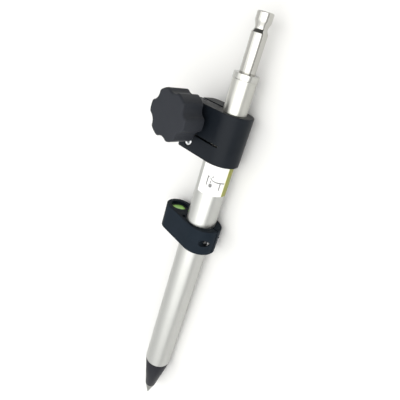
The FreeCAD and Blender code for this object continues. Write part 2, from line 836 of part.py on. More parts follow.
def prism_stub():
    """Quick-fit stub for a prism: plain shaft, sharp-edged groove, plain head."""
    edge = 0.5
    return turned("prism_stub", [
        (0, collar_top - 15),
        (size.stub_thread_radius, collar_top - 15),
        (size.stub_thread_radius, collar_top),
        (size.stub_radius, collar_top),
        (size.stub_radius, size.groove_bottom),
        (size.neck_radius, size.groove_neck - 0.5),
        (size.neck_radius, size.groove_neck + 0.5),
        (size.stub_radius, size.groove_top),
        (size.stub_radius, size.stub_top - edge),
        (size.stub_radius - edge, size.stub_top),
        (0, size.stub_top),
    ])


def guide_ring():
    """Plastic ring that runs in the outer tube. The inner tube turns inside it."""
    edge = 0.5
    bottom = size.inner_bottom + 0.2
    outer = tube_bore - size.running_gap
    inner = size.inner_radius + size.running_gap
    return turned("guide_ring", [
        (inner, bottom),
        (outer - edge, bottom),
        (outer, bottom + edge),
        (outer, bottom + size.guide_length - edge),
        (outer - edge, bottom + size.guide_length),
        (inner, bottom + size.guide_length),
    ])


def retaining_ring():
    """Open spring ring that keeps the guide ring on the inner tube."""
    gap_angle = 30.0
    inner = size.inner_radius - size.clip_depth + 0.05
    return turned("retaining_ring", [
        (inner, clip_bottom),
        (inner + 1.4, clip_bottom),
        (inner + 1.4, clip_bottom + size.clip_height),
        (inner, clip_bottom + size.clip_height),
    ], 360.0 - gap_angle)


def inner_end_cap():
    """Cap in the inner tube's lower end, whose flange carries the guide ring."""
    flange_radius = tube_bore - 0.5
    return turned("inner_end_cap", [
        (0, size.inner_bottom - size.cap_flange),
        (flange_radius, size.inner_bottom - size.cap_flange),
        (flange_radius, size.inner_bottom),
        (plug_radius, size.inner_bottom),
        (plug_radius, size.inner_bottom + 11),
        (plug_radius - 1, size.inner_bottom + 12),
        (0, size.inner_bottom + 12),
    ])


SUB_PARTS = [
    steel_point, point_holder, outer_tube, guide_bush, clamp_body, grip_sleeve, clamp_bush,
    clamp_pinch_screw, stud_keeper, tube_label, level_bracket, bracket_pinch_screw,
    vial_case, vial_base, vial_seal, vial_lens, vial_liquid, vial_bubble, vial_screws,
    knob, knob_insert, knob_stud, thrust_washer,
    inner_tube, head_plug, prism_stub, guide_ring, retaining_ring, inner_end_cap,
]


def check_document():
    """Stop if any object of the document failed."""
    for item in document.Objects:
        if "Invalid" in item.State or "Error" in item.State:
            raise RuntimeError(f"{item.Name} failed: {item.State}")


def check_shape(part):
    """Stop if a sub-part has no valid solid."""
    if part.Shape.isNull() or not part.Shape.isValid() or part.Shape.Volume <= 0:
        raise RuntimeError(f"{part.Label} has no valid shape")


def main():
    """Build every sub-part, check them all, then write each to its own file."""
    parts = [build() for build in SUB_PARTS]
    document.recompute()
    check_document()
    for part in parts:
        check_shape(part)
    os.makedirs("parts", exist_ok=True)
    for part in parts:
        part.Shape.exportStep(f"parts/{part.Label}.step")
        box = part.Shape.BoundBox
        print(f"{part.Label}: {part.Shape.Volume:.1f} mm3, z {box.ZMin:.2f} to {box.ZMax:.2f}")


main()
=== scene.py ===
"""Prism pole: the looks of a short telescoping survey pole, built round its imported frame."""
import json
import logging
import math
from dataclasses import dataclass
from enum import Enum
from typing import Callable, Iterable, Optional, Sequence, Union

import bmesh
import bpy
from mathutils import Matrix, Vector


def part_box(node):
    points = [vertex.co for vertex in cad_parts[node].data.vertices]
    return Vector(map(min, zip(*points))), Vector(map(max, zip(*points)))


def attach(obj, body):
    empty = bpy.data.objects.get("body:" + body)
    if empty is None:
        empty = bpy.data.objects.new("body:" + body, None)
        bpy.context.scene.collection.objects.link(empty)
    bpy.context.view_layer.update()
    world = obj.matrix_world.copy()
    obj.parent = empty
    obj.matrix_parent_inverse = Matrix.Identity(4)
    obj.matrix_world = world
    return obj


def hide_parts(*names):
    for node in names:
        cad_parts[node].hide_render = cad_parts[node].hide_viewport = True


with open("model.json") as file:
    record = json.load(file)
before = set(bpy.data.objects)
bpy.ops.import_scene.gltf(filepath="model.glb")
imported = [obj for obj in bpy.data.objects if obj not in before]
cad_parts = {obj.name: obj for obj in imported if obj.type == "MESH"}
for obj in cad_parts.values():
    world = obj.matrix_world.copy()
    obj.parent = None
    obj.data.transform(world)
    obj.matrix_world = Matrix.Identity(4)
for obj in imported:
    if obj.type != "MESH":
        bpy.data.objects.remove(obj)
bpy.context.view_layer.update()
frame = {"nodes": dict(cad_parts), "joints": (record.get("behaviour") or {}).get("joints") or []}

log = logging.getLogger("prism_pole")

MM = 0.001
TAU = 2.0 * math.pi

ORIGIN = (0.0, 0.0, 0.0)
DUST_COLOUR = (0.42, 0.4, 0.37)
THREAD_DEPTH = 0.54  # as a share of the pitch
THREAD_CREST = (0.44, 0.56)  # where the crest starts and ends, as shares of the pitch

Pair = tuple[float, float]
Colour = tuple[float, float, float]
Profile = Sequence[Pair]
Mesh = bmesh.types.BMesh
Node = bpy.types.Node
Socket = bpy.types.NodeSocket
Setting = Union[Socket, float, tuple, bool]
Wires = dict[Union[str, int], Setting]


class Body(Enum):
    """The moving bodies of the frame."""

    LOWER = "lower_pole"
    WASHER = "knob_washer"
    KNOB = "clamp_knob"
    UPPER = "upper_pole"


class Ends(Enum):
    """How a profile is turned: as a closed ring section, or open from pole to pole."""

    RING = True
    OPEN = False


# Node helpers


class Bench:
    """Adds nodes to one node tree and wires them."""

    def __init__(self, tree: bpy.types.NodeTree) -> None:
        """Start on a tree."""
        self.tree = tree

    def add(self, kind: str, wires: Optional[Wires] = None, **settings: object) -> Node:
        """Add a node, set its properties and fill its input sockets.

        Args:
            kind: The node's type name.
            wires: Input name or number, and the socket or plain value that goes in it.
            **settings: Properties of the node.

        Returns:
            The new node.
        """
        node = self.tree.nodes.new(kind)
        for name, value in settings.items():
            setattr(node, name, value)
        for key, value in (wires or {}).items():
            self.put(node.inputs[key], value)
        return node

    def put(self, socket: Socket, value: Setting) -> None:
        """Link a socket into another, or set it to a plain value.

        Args:
            socket: The input socket.
            value: The socket or value that it takes.
        """
        if isinstance(value, Socket):
            self.tree.links.new(value, socket)
        elif socket.type == "RGBA" and len(value) == 3:
            socket.default_value = (*value, 1.0)
        else:
            socket.default_value = value

    def sum(self, operation: str, first: Setting, second: Setting = 0.0, clamp: bool = False) -> Socket:
        """Work out one number with a Math node."""
        wires = {0: first, 1: second}
        return self.add("ShaderNodeMath", wires, operation=operation, use_clamp=clamp).outputs[0]

    def times(self, first: Setting, second: Setting) -> Socket:
        """Multiply two numbers."""
        return self.sum("MULTIPLY", first, second)

    def weigh(self, first: Setting, share: float, second: Setting, other: float) -> Socket:
        """Add two numbers, each with its own share."""
        return self.sum("ADD", self.times(first, share), self.times(second, other))

    def vector(
        self, operation: str, first: Setting, second: Setting = ORIGIN, out: str = "Vector",
    ) -> Socket:
        """Work out a vector, or with the output called Value a number, from two vectors."""
        return self.add("ShaderNodeVectorMath", {0: first, 1: second}, operation=operation).outputs[out]

    def scaled(self, vector: Setting, scale: Setting) -> Socket:
        """Multiply a vector by a number."""
        return self.add("ShaderNodeVectorMath", {0: vector, "Scale": scale}, operation="SCALE").outputs[0]

    def split(self, vector: Setting) -> tuple[Socket, Socket, Socket]:
        """Take a vector's three parts."""
        return tuple(self.add("ShaderNodeSeparateXYZ", {0: vector}).outputs)

    def fade(self, value: Setting, start: float, end: float, low: float = 0.0, high: float = 1.0) -> Socket:
        """Turn a number into a smooth step, from the low level at the start to the high one at the end."""
        wires = {0: value, 1: start, 2: end, 3: low, 4: high}
        return self.add("ShaderNodeMapRange", wires, interpolation_type="SMOOTHSTEP").outputs[0]

    def noise(self, place: Setting, scale: Setting, detail: float = 3.0, roughness: float = 0.55) -> Socket:
        """Add fractal noise, with its scale per metre."""
        wires = {"Vector": place, "Scale": scale, "Detail": detail, "Roughness": roughness}
        return self.add("ShaderNodeTexNoise", wires).outputs["Fac"]

    def blend(self, amount: Setting, first: Setting, second: Setting) -> Socket:
        """Blend two colours: 0 gives the first and 1 the second."""
        return self.add("ShaderNodeMix", {0: amount, 6: first, 7: second}, data_type="RGBA").outputs[2]

    def group(self, build: Callable[[], bpy.types.NodeTree], wires: Wires) -> Node:
        """Place a shared group."""
        return self.add("ShaderNodeGroup", wires, node_tree=build())


Filler = Callable[[Bench, Node, Node], None]
Builder = Callable[[], bpy.types.NodeTree]


def shared_group(inputs: Wires, outputs: Wires) -> Callable[[Filler], Builder]:
    """Turn a function that adds nodes into one that builds a shader node group, once.

    The group takes the function's name. Where a socket's value is a vector, so is the socket.

    Args:
        inputs: The inputs' names and starting values.
        outputs: The outputs' names, each with a value of its kind.

    Returns:
        The decorator.
    """

    def decorate(fill: Filler) -> Builder:
        """Wrap the function that adds the nodes.

        Args:
            fill: The function, which takes a bench and the group's input and output nodes.

        Returns:
            The function that finds or builds the group.
        """

        def build() -> bpy.types.NodeTree:
            """Find the group's tree, or build it.

            Returns:
                The tree.
            """
            tree = bpy.data.node_groups.get(fill.__name__)
            if tree:
                return tree
            tree = bpy.data.node_groups.new(fill.__name__, "ShaderNodeTree")
            for way, sockets in (("INPUT", inputs), ("OUTPUT", outputs)):
                for label, start in sockets.items():
                    kind = "NodeSocketVector" if isinstance(start, tuple) else "NodeSocketFloat"
                    socket = tree.interface.new_socket(name=label, in_out=way, socket_type=kind)
                    socket.default_value = start
            bench = Bench(tree)
            fill(bench, bench.add("NodeGroupInput"), bench.add("NodeGroupOutput"))
            return tree

        return build

    return decorate


@shared_group({"Vector": ORIGIN, "Scale": 2500.0}, {"Height": 0.0})
def fine_grain(bench: Bench, start: Node, end: Node) -> None:
    """Blasted or moulded skin: pits of two sizes.

    Args:
        bench: Adds the nodes.
        start: The group's input node.
        end: Its output node.
    """
    place, scale = start.outputs["Vector"], start.outputs["Scale"]
    pits = bench.noise(place, scale, 4.0, 0.6)
    fine = bench.noise(place, bench.times(scale, 3.1), 2.0, 0.5)
    bench.put(end.inputs["Height"], bench.weigh(pits, 0.7, fine, 0.3))


@shared_group({"Vector": ORIGIN, "Around": 20.0, "Along": 40.0}, {"Height": 0.0, "Streak": 0.0})
def tool_marks(bench: Bench, start: Node, end: Node) -> None:
    """Marks on a round piece: fine along its length when drawn, or round it when turned.

    They are noise on the unit circle round Z, stretched by the two scales.

    Args:
        bench: Adds the nodes.
        start: The group's input node.
        end: Its output node.
    """
    x, y, z = bench.split(start.outputs["Vector"])
    flat = bench.add("ShaderNodeCombineXYZ", {0: x, 1: y}).outputs[0]
    around = bench.scaled(bench.vector("NORMALIZE", flat), start.outputs["Around"])
    rise = bench.times(z, start.outputs["Along"])
    reach = bench.times(bench.vector("LENGTH", flat, out="Value"), start.outputs["Along"])
    climb = bench.add("ShaderNodeCombineXYZ", {2: bench.sum("ADD", rise, reach)})
    place = bench.vector("ADD", around, climb.outputs[0])
    coarse = bench.noise(place, 1.0, 3.0, 0.65)
    bench.put(end.inputs["Height"], bench.weigh(coarse, 0.6, bench.noise(place, 4.3, 2.0, 0.5), 0.4))
    bench.put(end.inputs["Streak"], bench.fade(coarse, 0.4, 0.62))


@shared_group({"Vector": ORIGIN, "Scale": 40.0}, {"Mask": 0.0})
def handling(bench: Bench, start: Node, end: Node) -> None:
    """Smudges from hands and cloths: soft patches with a fine broken edge.

    Args:
        bench: Adds the nodes.
        start: The group's input node.
        end: Its output node.
    """
    place, scale = start.outputs["Vector"], start.outputs["Scale"]
    patches = bench.noise(place, scale, 3.0, 0.6)
    rubbed = bench.noise(place, bench.times(scale, 9.0), 4.0, 0.6)
    bench.put(end.inputs["Mask"], bench.fade(bench.weigh(patches, 0.75, rubbed, 0.25), 0.36, 0.66))


@shared_group({"Vector": ORIGIN, "Radius": 0.0002}, {"Normal": ORIGIN, "Rub": 0.0})
def eased_edges(bench: Bench, start: Node, end: Node) -> None:
    """Edges that the maker broke with a file, and where handling has rubbed them.

    An edge is where the eased normal and the plain one differ, and noise breaks the rub up.

    Args:
        bench: Adds the nodes.
        start: The group's input node.
        end: Its output node.
    """
    eased = bench.add("ShaderNodeBevel", {"Radius": start.outputs["Radius"]}, samples=4).outputs[0]
    plain = bench.add("ShaderNodeNewGeometry").outputs["Normal"]
    along = bench.vector("DOT_PRODUCT", eased, plain, "Value")
    turn = bench.fade(bench.sum("SUBTRACT", 1.0, along), 0.02, 0.22)
    patch = bench.noise(start.outputs["Vector"], 420.0, 3.0, 0.7)
    bench.put(end.inputs["Normal"], eased)
    bench.put(end.inputs["Rub"], bench.times(turn, bench.fade(patch, 0.35, 0.7)))


@shared_group({"Vector": ORIGIN}, {"Mask": 0.0})
def settled_dust(bench: Bench, start: Node, end: Node) -> None:
    """Fine dust that lies in specks and patches on faces that look up the pole.

    Args:
        bench: Adds the nodes.
        start: The group's input node.
        end: Its output node.
    """
    _, _, lift = bench.split(bench.add("ShaderNodeNewGeometry").outputs["Normal"])
    up = bench.fade(lift, 0.2, 0.95)
    specks = bench.fade(bench.noise(start.outputs["Vector"], 1900.0, 2.0, 0.6), 0.55, 0.72)
    patch = bench.fade(bench.noise(start.outputs["Vector"], 130.0, 3.0, 0.6), 0.35, 0.7)
    amount = bench.times(bench.times(up, bench.sum("ADD", specks, patch)), 0.5)
    bench.put(end.inputs["Mask"], amount)


@shared_group({"Vector": ORIGIN, "From": ORIGIN, "To": ORIGIN, "Half width": 0.0003}, {"Mask": 0.0})
def drawn_stroke(bench: Bench, start: Node, end: Node) -> None:
    """A round-ended pen stroke, from how far a place is from the line between two others.

    Args:
        bench: Adds the nodes.
        start: The group's input node.
        end: Its output node.
    """
    first = start.outputs["From"]
    run = bench.vector("SUBTRACT", start.outputs["To"], first)
    gap = bench.vector("SUBTRACT", start.outputs["Vector"], first)
    square = bench.sum("MAXIMUM", bench.vector("DOT_PRODUCT", run, run, "Value"), 1e-12)
    share = bench.sum("DIVIDE", bench.vector("DOT_PRODUCT", gap, run, "Value"), square, True)
    away = bench.vector("DISTANCE", gap, bench.scaled(run, share), "Value")
    ratio = bench.sum("DIVIDE", away, start.outputs["Half width"])
    bench.put(end.inputs["Mask"], bench.fade(ratio, 1.25, 0.75))


def clean_bench(owner: Union[bpy.types.Material, bpy.types.World]) -> Bench:
    """Turn on a material's or a world's nodes, and clear them.

    Args:
        owner: The material or world.

    Returns:
        A bench on its tree.
    """
    owner.use_nodes = True
    owner.node_tree.nodes.clear()
    return Bench(owner.node_tree)


# Finishes


@dataclass(frozen=True)
class Finish:
    """What every finish has: plain shader values, smudges, grain and eased edges.

    Lengths are in millimetres. The tone is the colour that handled patches drift towards, and the
    rub is the colour that shows where an edge has worn.
    """

    name: str
    colour: Colour
    tone: Colour
    roughness: float
    drift: float = 0.06
    specular: float = 0.5
    grain_size: float = 0.35
    grain_depth: float = 0.004
    smudge_scale: float = 45.0
    edge: float = 0.2
    rub: Colour = (0.4, 0.4, 0.4)
    rub_amount: float = 0.25
    dust_amount: float = 0.0

    @property
    def metallic(self) -> float:
        """How metallic the shader is."""
        return 0.0

    def material(self, axis: Optional[Matrix] = None) -> bpy.types.Material:
        """Build the material, or find it if it has been built.

        Args:
            axis: Where the piece's own axis lies, for a piece that isn't on the pole's axis.

        Returns:
            The material.
        """
        name = self.name
        if axis is not None:
            name += "_at_" + "_".join(f"{part / MM:.0f}" for part in axis.translation)
        found = bpy.data.materials.get(name)
        if found:
            return found
        made = bpy.data.materials.new(name)
        bench = clean_bench(made)
        shader = bench.add("ShaderNodeBsdfPrincipled", self.plain_values())
        bench.add("ShaderNodeOutputMaterial", {"Surface": shader.outputs[0]})
        self.wire(bench, shader, self.place(bench, axis))
        return made

    def plain_values(self) -> Wires:
        """Name the shader's values that are the same all over."""
        return {"Metallic": self.metallic, "Specular IOR Level": self.specular}

    @staticmethod
    def place(bench: Bench, axis: Optional[Matrix]) -> Socket:
        """Find where a pattern is read.

        Args:
            bench: Adds the nodes.
            axis: Where the piece's own axis lies, or None for the pole's axis.

        Returns:
            The place's socket.
        """
        place = bench.add("ShaderNodeTexCoord").outputs["Object"]
        if axis is None:
            return place
        back = axis.inverted()
        turn = {"Vector": place, "Location": tuple(back.translation), "Rotation": tuple(back.to_euler())}
        return bench.add("ShaderNodeMapping", turn).outputs[0]

    def wire(self, bench: Bench, shader: Node, place: Socket) -> None:
        """Wire colour, roughness and normal into the shader.

        Args:
            bench: Adds the nodes.
            shader: The Principled shader.
            place: Where patterns are read.
        """
        mask = bench.group(handling, {"Vector": place, "Scale": self.smudge_scale}).outputs["Mask"]
        edges = bench.group(eased_edges, {"Vector": place, "Radius": self.edge * MM}).outputs
        rub = bench.times(edges["Rub"], self.rub_amount)
        colour = bench.blend(rub, self.skin_colour(bench, place, mask), self.rub)
        if self.dust_amount:
            dust = bench.times(bench.group(settled_dust, {0: place}).outputs[0], self.dust_amount)
            colour = bench.blend(dust, colour, DUST_COLOUR)
        bench.put(shader.inputs["Base Color"], colour)
        rough = bench.fade(mask, 0.0, 1.0, self.roughness - self.drift, self.roughness + self.drift)
        bench.put(shader.inputs["Roughness"], rough)
        height, depth = self.relief(bench, place)
        relief = {"Distance": depth * MM, "Height": height, "Normal": edges["Normal"]}
        bench.put(shader.inputs["Normal"], bench.add("ShaderNodeBump", relief).outputs[0])

    def skin_colour(self, bench: Bench, place: Socket, mask: Socket) -> Socket:
        """Blend the colour and its tone, by where the piece has been handled."""
        return bench.blend(mask, self.colour, self.tone)

    def relief(self, bench: Bench, place: Socket) -> tuple[Socket, float]:
        """Find the grain's height, and the depth in millimetres that a height of 1 stands for."""
        grain = bench.group(fine_grain, {"Vector": place, "Scale": 1.0 / (self.grain_size * MM)})
        return grain.outputs["Height"], self.grain_depth


@dataclass(frozen=True)
class Plastic(Finish):
    """Moulded plastic: a fine even skin."""


@dataclass(frozen=True)
class Anodised(Finish):
    """Dyed anodised aluminium: a blasted skin over machined metal."""


@dataclass(frozen=True)
class Metal(Finish):
    """Bare metal, with marks round it or along it from the tool that made it."""

    around: float = 5.0
    along: float = 5000.0
    mark_depth: float = 0.001
    grain_size: float = 0.2
    grain_depth: float = 0.001
    edge: float = 0.08

    @property
    def metallic(self) -> float:
        """Bare metal is fully metallic."""
        return 1.0

    def skin_colour(self, bench: Bench, place: Socket, mask: Socket) -> Socket:
        """Let the tool's streaks break up the handled patches."""
        streak = self.marks(bench, place)["Streak"]
        return bench.blend(bench.times(bench.sum("ADD", mask, streak), 0.5), self.colour, self.tone)

    def relief(self, bench: Bench, place: Socket) -> tuple[Socket, float]:
        """Add the tool's marks to the grain.

        Args:
            bench: Adds the nodes.
            place: Where patterns are read.

        Returns:
            The height's socket, and the depth in millimetres that a height of 1 stands for.
        """
        grain, depth = super().relief(bench, place)
        whole = depth + self.mark_depth
        marks = self.marks(bench, place)["Height"]
        return bench.weigh(grain, depth / whole, marks, self.mark_depth / whole), whole

    def marks(self, bench: Bench, place: Socket) -> bpy.types.NodeOutputs:
        """Place the tool marks, and give their outputs."""
        return bench.group(tool_marks, {"Vector": place, "Around": self.around, "Along": self.along}).outputs


@dataclass(frozen=True)
class Stroke:
    """A pen stroke on the label. An end is an angle round the tube from the front, and a height."""

    start: Pair
    end: Pair
    width: float


@dataclass(frozen=True)
class PrintedFilm(Finish):
    """White film with a plain line drawing, and a coloured stripe up its right edge."""

    radius: float = 12.83
    strokes: tuple[Stroke, ...] = ()
    ink: Colour = (0.06, 0.06, 0.065)
    stripe_start: float = 47.0
    stripe: Colour = (0.265, 0.258, 0.036)
    stripe_tone: Colour = (0.225, 0.25, 0.045)
    margin: float = 2.5
    margin_colour: Colour = (0.9, 0.86, 0.62)
    margin_softness: float = 0.01
    stripe_softness: float = 0.012

    def skin_colour(self, bench: Bench, place: Socket, mask: Socket) -> Socket:
        """Print the drawing and the stripe on the film.

        Args:
            bench: Adds the nodes.
            place: Where patterns are read.
            mask: Where the film has been handled.

        Returns:
            The colour's socket.
        """
        x, y, z = bench.split(place)
        angle = bench.sum("ARCTAN2", x, bench.times(y, -1.0))
        arc = bench.times(angle, self.radius * MM)
        sheet = bench.add("ShaderNodeCombineXYZ", {0: arc, 1: z}).outputs[0]
        printed = 0.0
        for stroke in self.strokes:
            ends = {"From": self.on_sheet(stroke.start), "To": self.on_sheet(stroke.end)}
            line = bench.group(drawn_stroke, {"Vector": sheet, **ends, "Half width": stroke.width * MM / 2})
            printed = bench.sum("MAXIMUM", printed, line.outputs[0])
        film = bench.blend(bench.times(mask, 0.6), self.colour, self.tone)
        ink = bench.times(printed, bench.fade(bench.noise(place, 900.0), 0.3, 0.6, 0.78, 0.94))
        film = bench.blend(ink, film, self.ink)
        stripe = bench.blend(bench.fade(bench.noise(place, 160.0), 0.4, 0.6), self.stripe, self.stripe_tone)
        margin = self.step(bench, angle, self.stripe_start - self.margin, self.margin_softness)
        film = bench.blend(margin, film, self.margin_colour)
        return bench.blend(self.step(bench, angle, self.stripe_start, self.stripe_softness), film, stripe)

    @staticmethod
    def step(bench: Bench, angle: Socket, turn: float, soft: float) -> Socket:
        """Step from 0 to 1 at a turn in degrees, over a softness in radians."""
        return bench.fade(angle, math.radians(turn) - soft, math.radians(turn) + soft)

    def on_sheet(self, spot: Pair) -> tuple[float, float, float]:
        """Turn an angle and a height into a place on the flat sheet, in metres."""
        return (math.radians(spot[0]) * self.radius * MM, spot[1] * MM, 0.0)


@dataclass(frozen=True)
class Clear(Finish):
    """Something that light goes through, in part or wholly: the lens, and the bubble under it."""

    bend: float = 1.49
    clear: float = 1.0

    def plain_values(self) -> Wires:
        """Name the shader's values that are the same all over."""
        return {**super().plain_values(), "Transmission Weight": self.clear, "IOR": self.bend}


@dataclass(frozen=True)
class PaintedGlowLiquid(Finish):
    """Green level liquid with a painted glow: its emission keeps it bright green under the lens, whatever
    light reaches it.
    """

    painted_glow: Colour = (0.2, 0.36, 0.07)
    painted_glow_strength: float = 2.6

    def plain_values(self) -> Wires:
        """Name the shader's values that are the same all over."""
        # The emission is painted light: the liquid glows though it is no lamp.
        painted_glow = {"Emission Color": self.painted_glow, "Emission Strength": self.painted_glow_strength}
        return {**super().plain_values(), **painted_glow}


ANODISED_TUBE = Metal(
    "satin_silver_tube", (0.525, 0.53, 0.512), (0.50, 0.505, 0.487), 0.38, 0.03,
    around=160.0, along=12.0, mark_depth=0.0016, grain_size=0.12, grain_depth=0.0012, edge=0.2,
    rub=(0.9, 0.9, 0.9), rub_amount=0.3, smudge_scale=30.0,
)
INNER_SILVER = Metal(
    "bright_silver_tube", (0.535, 0.535, 0.502), (0.51, 0.51, 0.475), 0.34, 0.03,
    around=130.0, along=14.0, mark_depth=0.0014, grain_size=0.12, grain_depth=0.001, edge=0.15,
    rub=(0.9, 0.9, 0.9), rub_amount=0.3, smudge_scale=30.0,
)
COLLAR_SILVER = Metal(
    "turned_silver_collar", (0.54, 0.54, 0.515), (0.48, 0.48, 0.455), 0.2, 0.03,
    along=7000.0, mark_depth=0.0014, grain_size=0.15, grain_depth=0.0008, edge=0.15,
)
STUB_STEEL = Metal(
    "polished_stub_steel", (0.52, 0.515, 0.49), (0.46, 0.452, 0.425), 0.115, 0.03,
    around=4.0, along=9000.0, mark_depth=0.0007, grain_size=0.15, grain_depth=0.0004, edge=0.12,
)
POINT_STEEL = Metal(
    "ground_point_steel", (0.265, 0.27, 0.25), (0.20, 0.20, 0.183), 0.36, 0.05,
    along=5200.0, mark_depth=0.004, grain_depth=0.0015, edge=0.15,
)
SCREW_BRIGHT = Metal(
    "bright_zinc_screw", (0.78, 0.79, 0.80), (0.62, 0.63, 0.65), 0.2, 0.05,
    along=6000.0,
)
KEEPER_ZINC = Metal(
    "dull_zinc_screw", (0.86, 0.87, 0.88), (0.74, 0.75, 0.77), 0.48, 0.05,
    along=6000.0,
)
FITTING_STEEL = Metal(
    "plain_fitting_steel", (0.60, 0.60, 0.59), (0.48, 0.47, 0.45), 0.28, 0.06,
    mark_depth=0.0014,
)
BRASS = Metal(
    "insert_brass", (0.78, 0.57, 0.27), (0.58, 0.40, 0.18), 0.28, 0.05,
    mark_depth=0.002, edge=0.1,
)
SPRING_STEEL = Metal(
    "dark_spring_steel", (0.16, 0.15, 0.145), (0.09, 0.085, 0.08), 0.36, 0.06,
    along=4000.0,
)
HOLDER_BLACK = Anodised(
    "semi_matt_black_holder", (0.0085, 0.0088, 0.0132), (0.012, 0.0124, 0.0178), 0.42, 0.05, 0.12,
    grain_size=0.25, grain_depth=0.002, edge=0.25, rub=(0.32, 0.32, 0.33), rub_amount=0.12,
)
CLAMP_BLACK = Plastic(
    "moulded_black_clamp", (0.0072, 0.0098, 0.0138), (0.0096, 0.0122, 0.0168), 0.43, 0.05, 0.12,
    grain_size=0.3, grain_depth=0.0035, edge=0.3, rub=(0.1, 0.105, 0.11), rub_amount=0.25, dust_amount=0.05,
)
KNOB_BLACK = Plastic(
    "textured_black_knob", (0.0215, 0.024, 0.030), (0.0265, 0.029, 0.0355), 0.5, 0.05, 0.14,
    grain_size=0.42, grain_depth=0.012, edge=0.3, rub=(0.12, 0.125, 0.13), rub_amount=0.2, dust_amount=0.03,
)
BRACKET_BLACK = Anodised(
    "blasted_black_bracket", (0.0116, 0.0172, 0.0243), (0.0142, 0.0202, 0.0282), 0.46, 0.04, 0.03,
    grain_size=0.22, grain_depth=0.0035, edge=0.3, rub=(0.3, 0.3, 0.31), rub_amount=0.08, dust_amount=0.04,
)
SCREW_BLACK = Metal(
    "black_oxide_screw", (0.16, 0.16, 0.165), (0.24, 0.24, 0.245), 0.24, 0.06,
    rub=(0.45, 0.45, 0.46), rub_amount=0.5,
)
CASE_BLACK = Plastic(
    "black_vial_case", (0.011, 0.014, 0.015), (0.018, 0.022, 0.022), 0.4, 0.05, 0.45,
    grain_size=0.3, grain_depth=0.002, edge=0.15,
)
SLEEVE_BLACK = Plastic(
    "black_sleeve_plastic", (0.014, 0.015, 0.016), (0.025, 0.026, 0.027), 0.5, 0.06, 0.4, grain_depth=0.004,
)
BUSH_WHITE = Plastic(
    "milky_bush_plastic", (0.72, 0.71, 0.66), (0.64, 0.62, 0.56), 0.42, 0.06, 0.45, grain_depth=0.003,
    rub=(0.8, 0.79, 0.75), rub_amount=0.2,
)
SEAL_BLACK = Plastic(
    "black_seal_rubber", (0.01, 0.01, 0.01), (0.022, 0.022, 0.021), 0.72, 0.05, 0.3, grain_depth=0.006,
)
VIAL_WHITE = Plastic(
    "pale_vial_base", (0.80, 0.86, 0.66), (0.74, 0.80, 0.58), 0.5, 0.05, 0.4, grain_depth=0.002,
)
RING_INK = Plastic(
    "black_ring_ink", (0.01, 0.012, 0.01), (0.02, 0.022, 0.02), 0.45, 0.05, 0.4, grain_depth=0.001,
)
LENS_CLEAR = Clear(
    "clear_vial_lens", (0.74, 0.92, 0.50), (0.69, 0.88, 0.46), 0.05, 0.015, grain_depth=0.0002, clear=0.5,
)
# Painted glow: the liquid's emission keeps the vial bright green under the lens.
LIQUID_GREEN = PaintedGlowLiquid(
    "green_vial_liquid", (0.34, 0.56, 0.14), (0.29, 0.50, 0.11), 0.12, 0.02, grain_depth=0.0002,
)
BUBBLE_AIR = Clear(
    "air_bubble", (0.92, 0.98, 0.80), (0.88, 0.96, 0.74), 0.03, 0.01, grain_depth=0.0001,
    bend=1.2, clear=0.75,
)
LABEL_FILM = PrintedFilm(
    "printed_label_film", (0.86, 0.865, 0.85), (0.81, 0.815, 0.795), 0.36, 0.05, 0.45,
    grain_size=0.5, grain_depth=0.003, rub=(0.7, 0.7, 0.68), rub_amount=0.2, edge=0.05,
    strokes=(
        Stroke((-21.5, 260.4), (-21.5, 267.4), 0.90),
        Stroke((-21.0, 267.2), (-20.5, 267.6), 1.45),
        Stroke((-12.0, 266.9), (-5.0, 265.2), 0.72),
        Stroke((-5.0, 265.2), (9.0, 264.3), 0.80),
        Stroke((9.0, 264.3), (42.0, 264.1), 0.87),
        Stroke((27.0, 258.4), (27.0, 264.0), 0.87),
        Stroke((-6.6, 260.3), (-6.6, 261.0), 2.75),
        Stroke((-9.3, 263.2), (-9.1, 263.9), 1.01),
        Stroke((-6.0, 268.0), (-4.0, 268.3), 1.01),
    ),
)


# Mesh helpers


def spin(bm: Mesh, sides: list, angle: float, steps: int, climb: float = 0.0, merge: bool = False) -> None:
    """Sweep edges round the pole's axis.

    Args:
        bm: The mesh.
        sides: The edges.
        angle: How far they turn, in radians.
        steps: How many flats the sweep has.
        climb: How far they climb at each step, in metres.
        merge: Whether the last step is merged with the first.
    """
    corners = list({vert: None for side in sides for vert in side.verts})
    bmesh.ops.spin(
        bm, geom=corners + sides, cent=(0, 0, 0), axis=(0, 0, 1), dvec=(0, 0, climb),
        angle=angle, steps=steps, use_merge=merge, use_duplicate=False,
    )


def turned(profile: Profile, ends: Ends, steps: int = 96, ease: float = 0.0) -> Mesh:
    """Turn a profile about the pole's axis.

    Args:
        profile: Radius and height of each corner, in millimetres.
        ends: Whether the last corner joins the first.
        steps: How many flats the turn has.
        ease: Radius that breaks the corners, in millimetres.

    Returns:
        The mesh.
    """
    bm = bmesh.new()
    corners = [bm.verts.new((radius * MM, 0.0, height * MM)) for radius, height in profile]
    runs = list(zip(corners, corners[1:]))
    if ends is Ends.RING:
        runs.append((corners[-1], corners[0]))
    sides = [bm.edges.new(run) for run in runs]
    spin(bm, sides, TAU, steps, merge=True)
    bmesh.ops.remove_doubles(bm, verts=bm.verts[:], dist=1e-7)
    bmesh.ops.recalc_face_normals(bm, faces=bm.faces[:])
    if ease:
        ease_corners(bm, ease)
    return bm


def ease_corners(bm: Mesh, width: float, above: float = 25.0, segments: int = 3) -> None:
    """Round every edge that is sharper than an angle.

    Args:
        bm: The mesh.
        width: How far in the rounding starts, in millimetres.
        above: The angle, in degrees.
        segments: How many flats the rounding has.
    """
    limit = math.radians(above)
    sharp = [edge for edge in bm.edges if len(edge.link_faces) == 2 and edge.calc_face_angle() > limit]
    bmesh.ops.bevel(
        bm, geom=sharp, offset=width * MM, offset_type="OFFSET", affect="EDGES", segments=segments,
        profile=0.5, material=-1, clamp_overlap=True, loop_slide=True,
    )


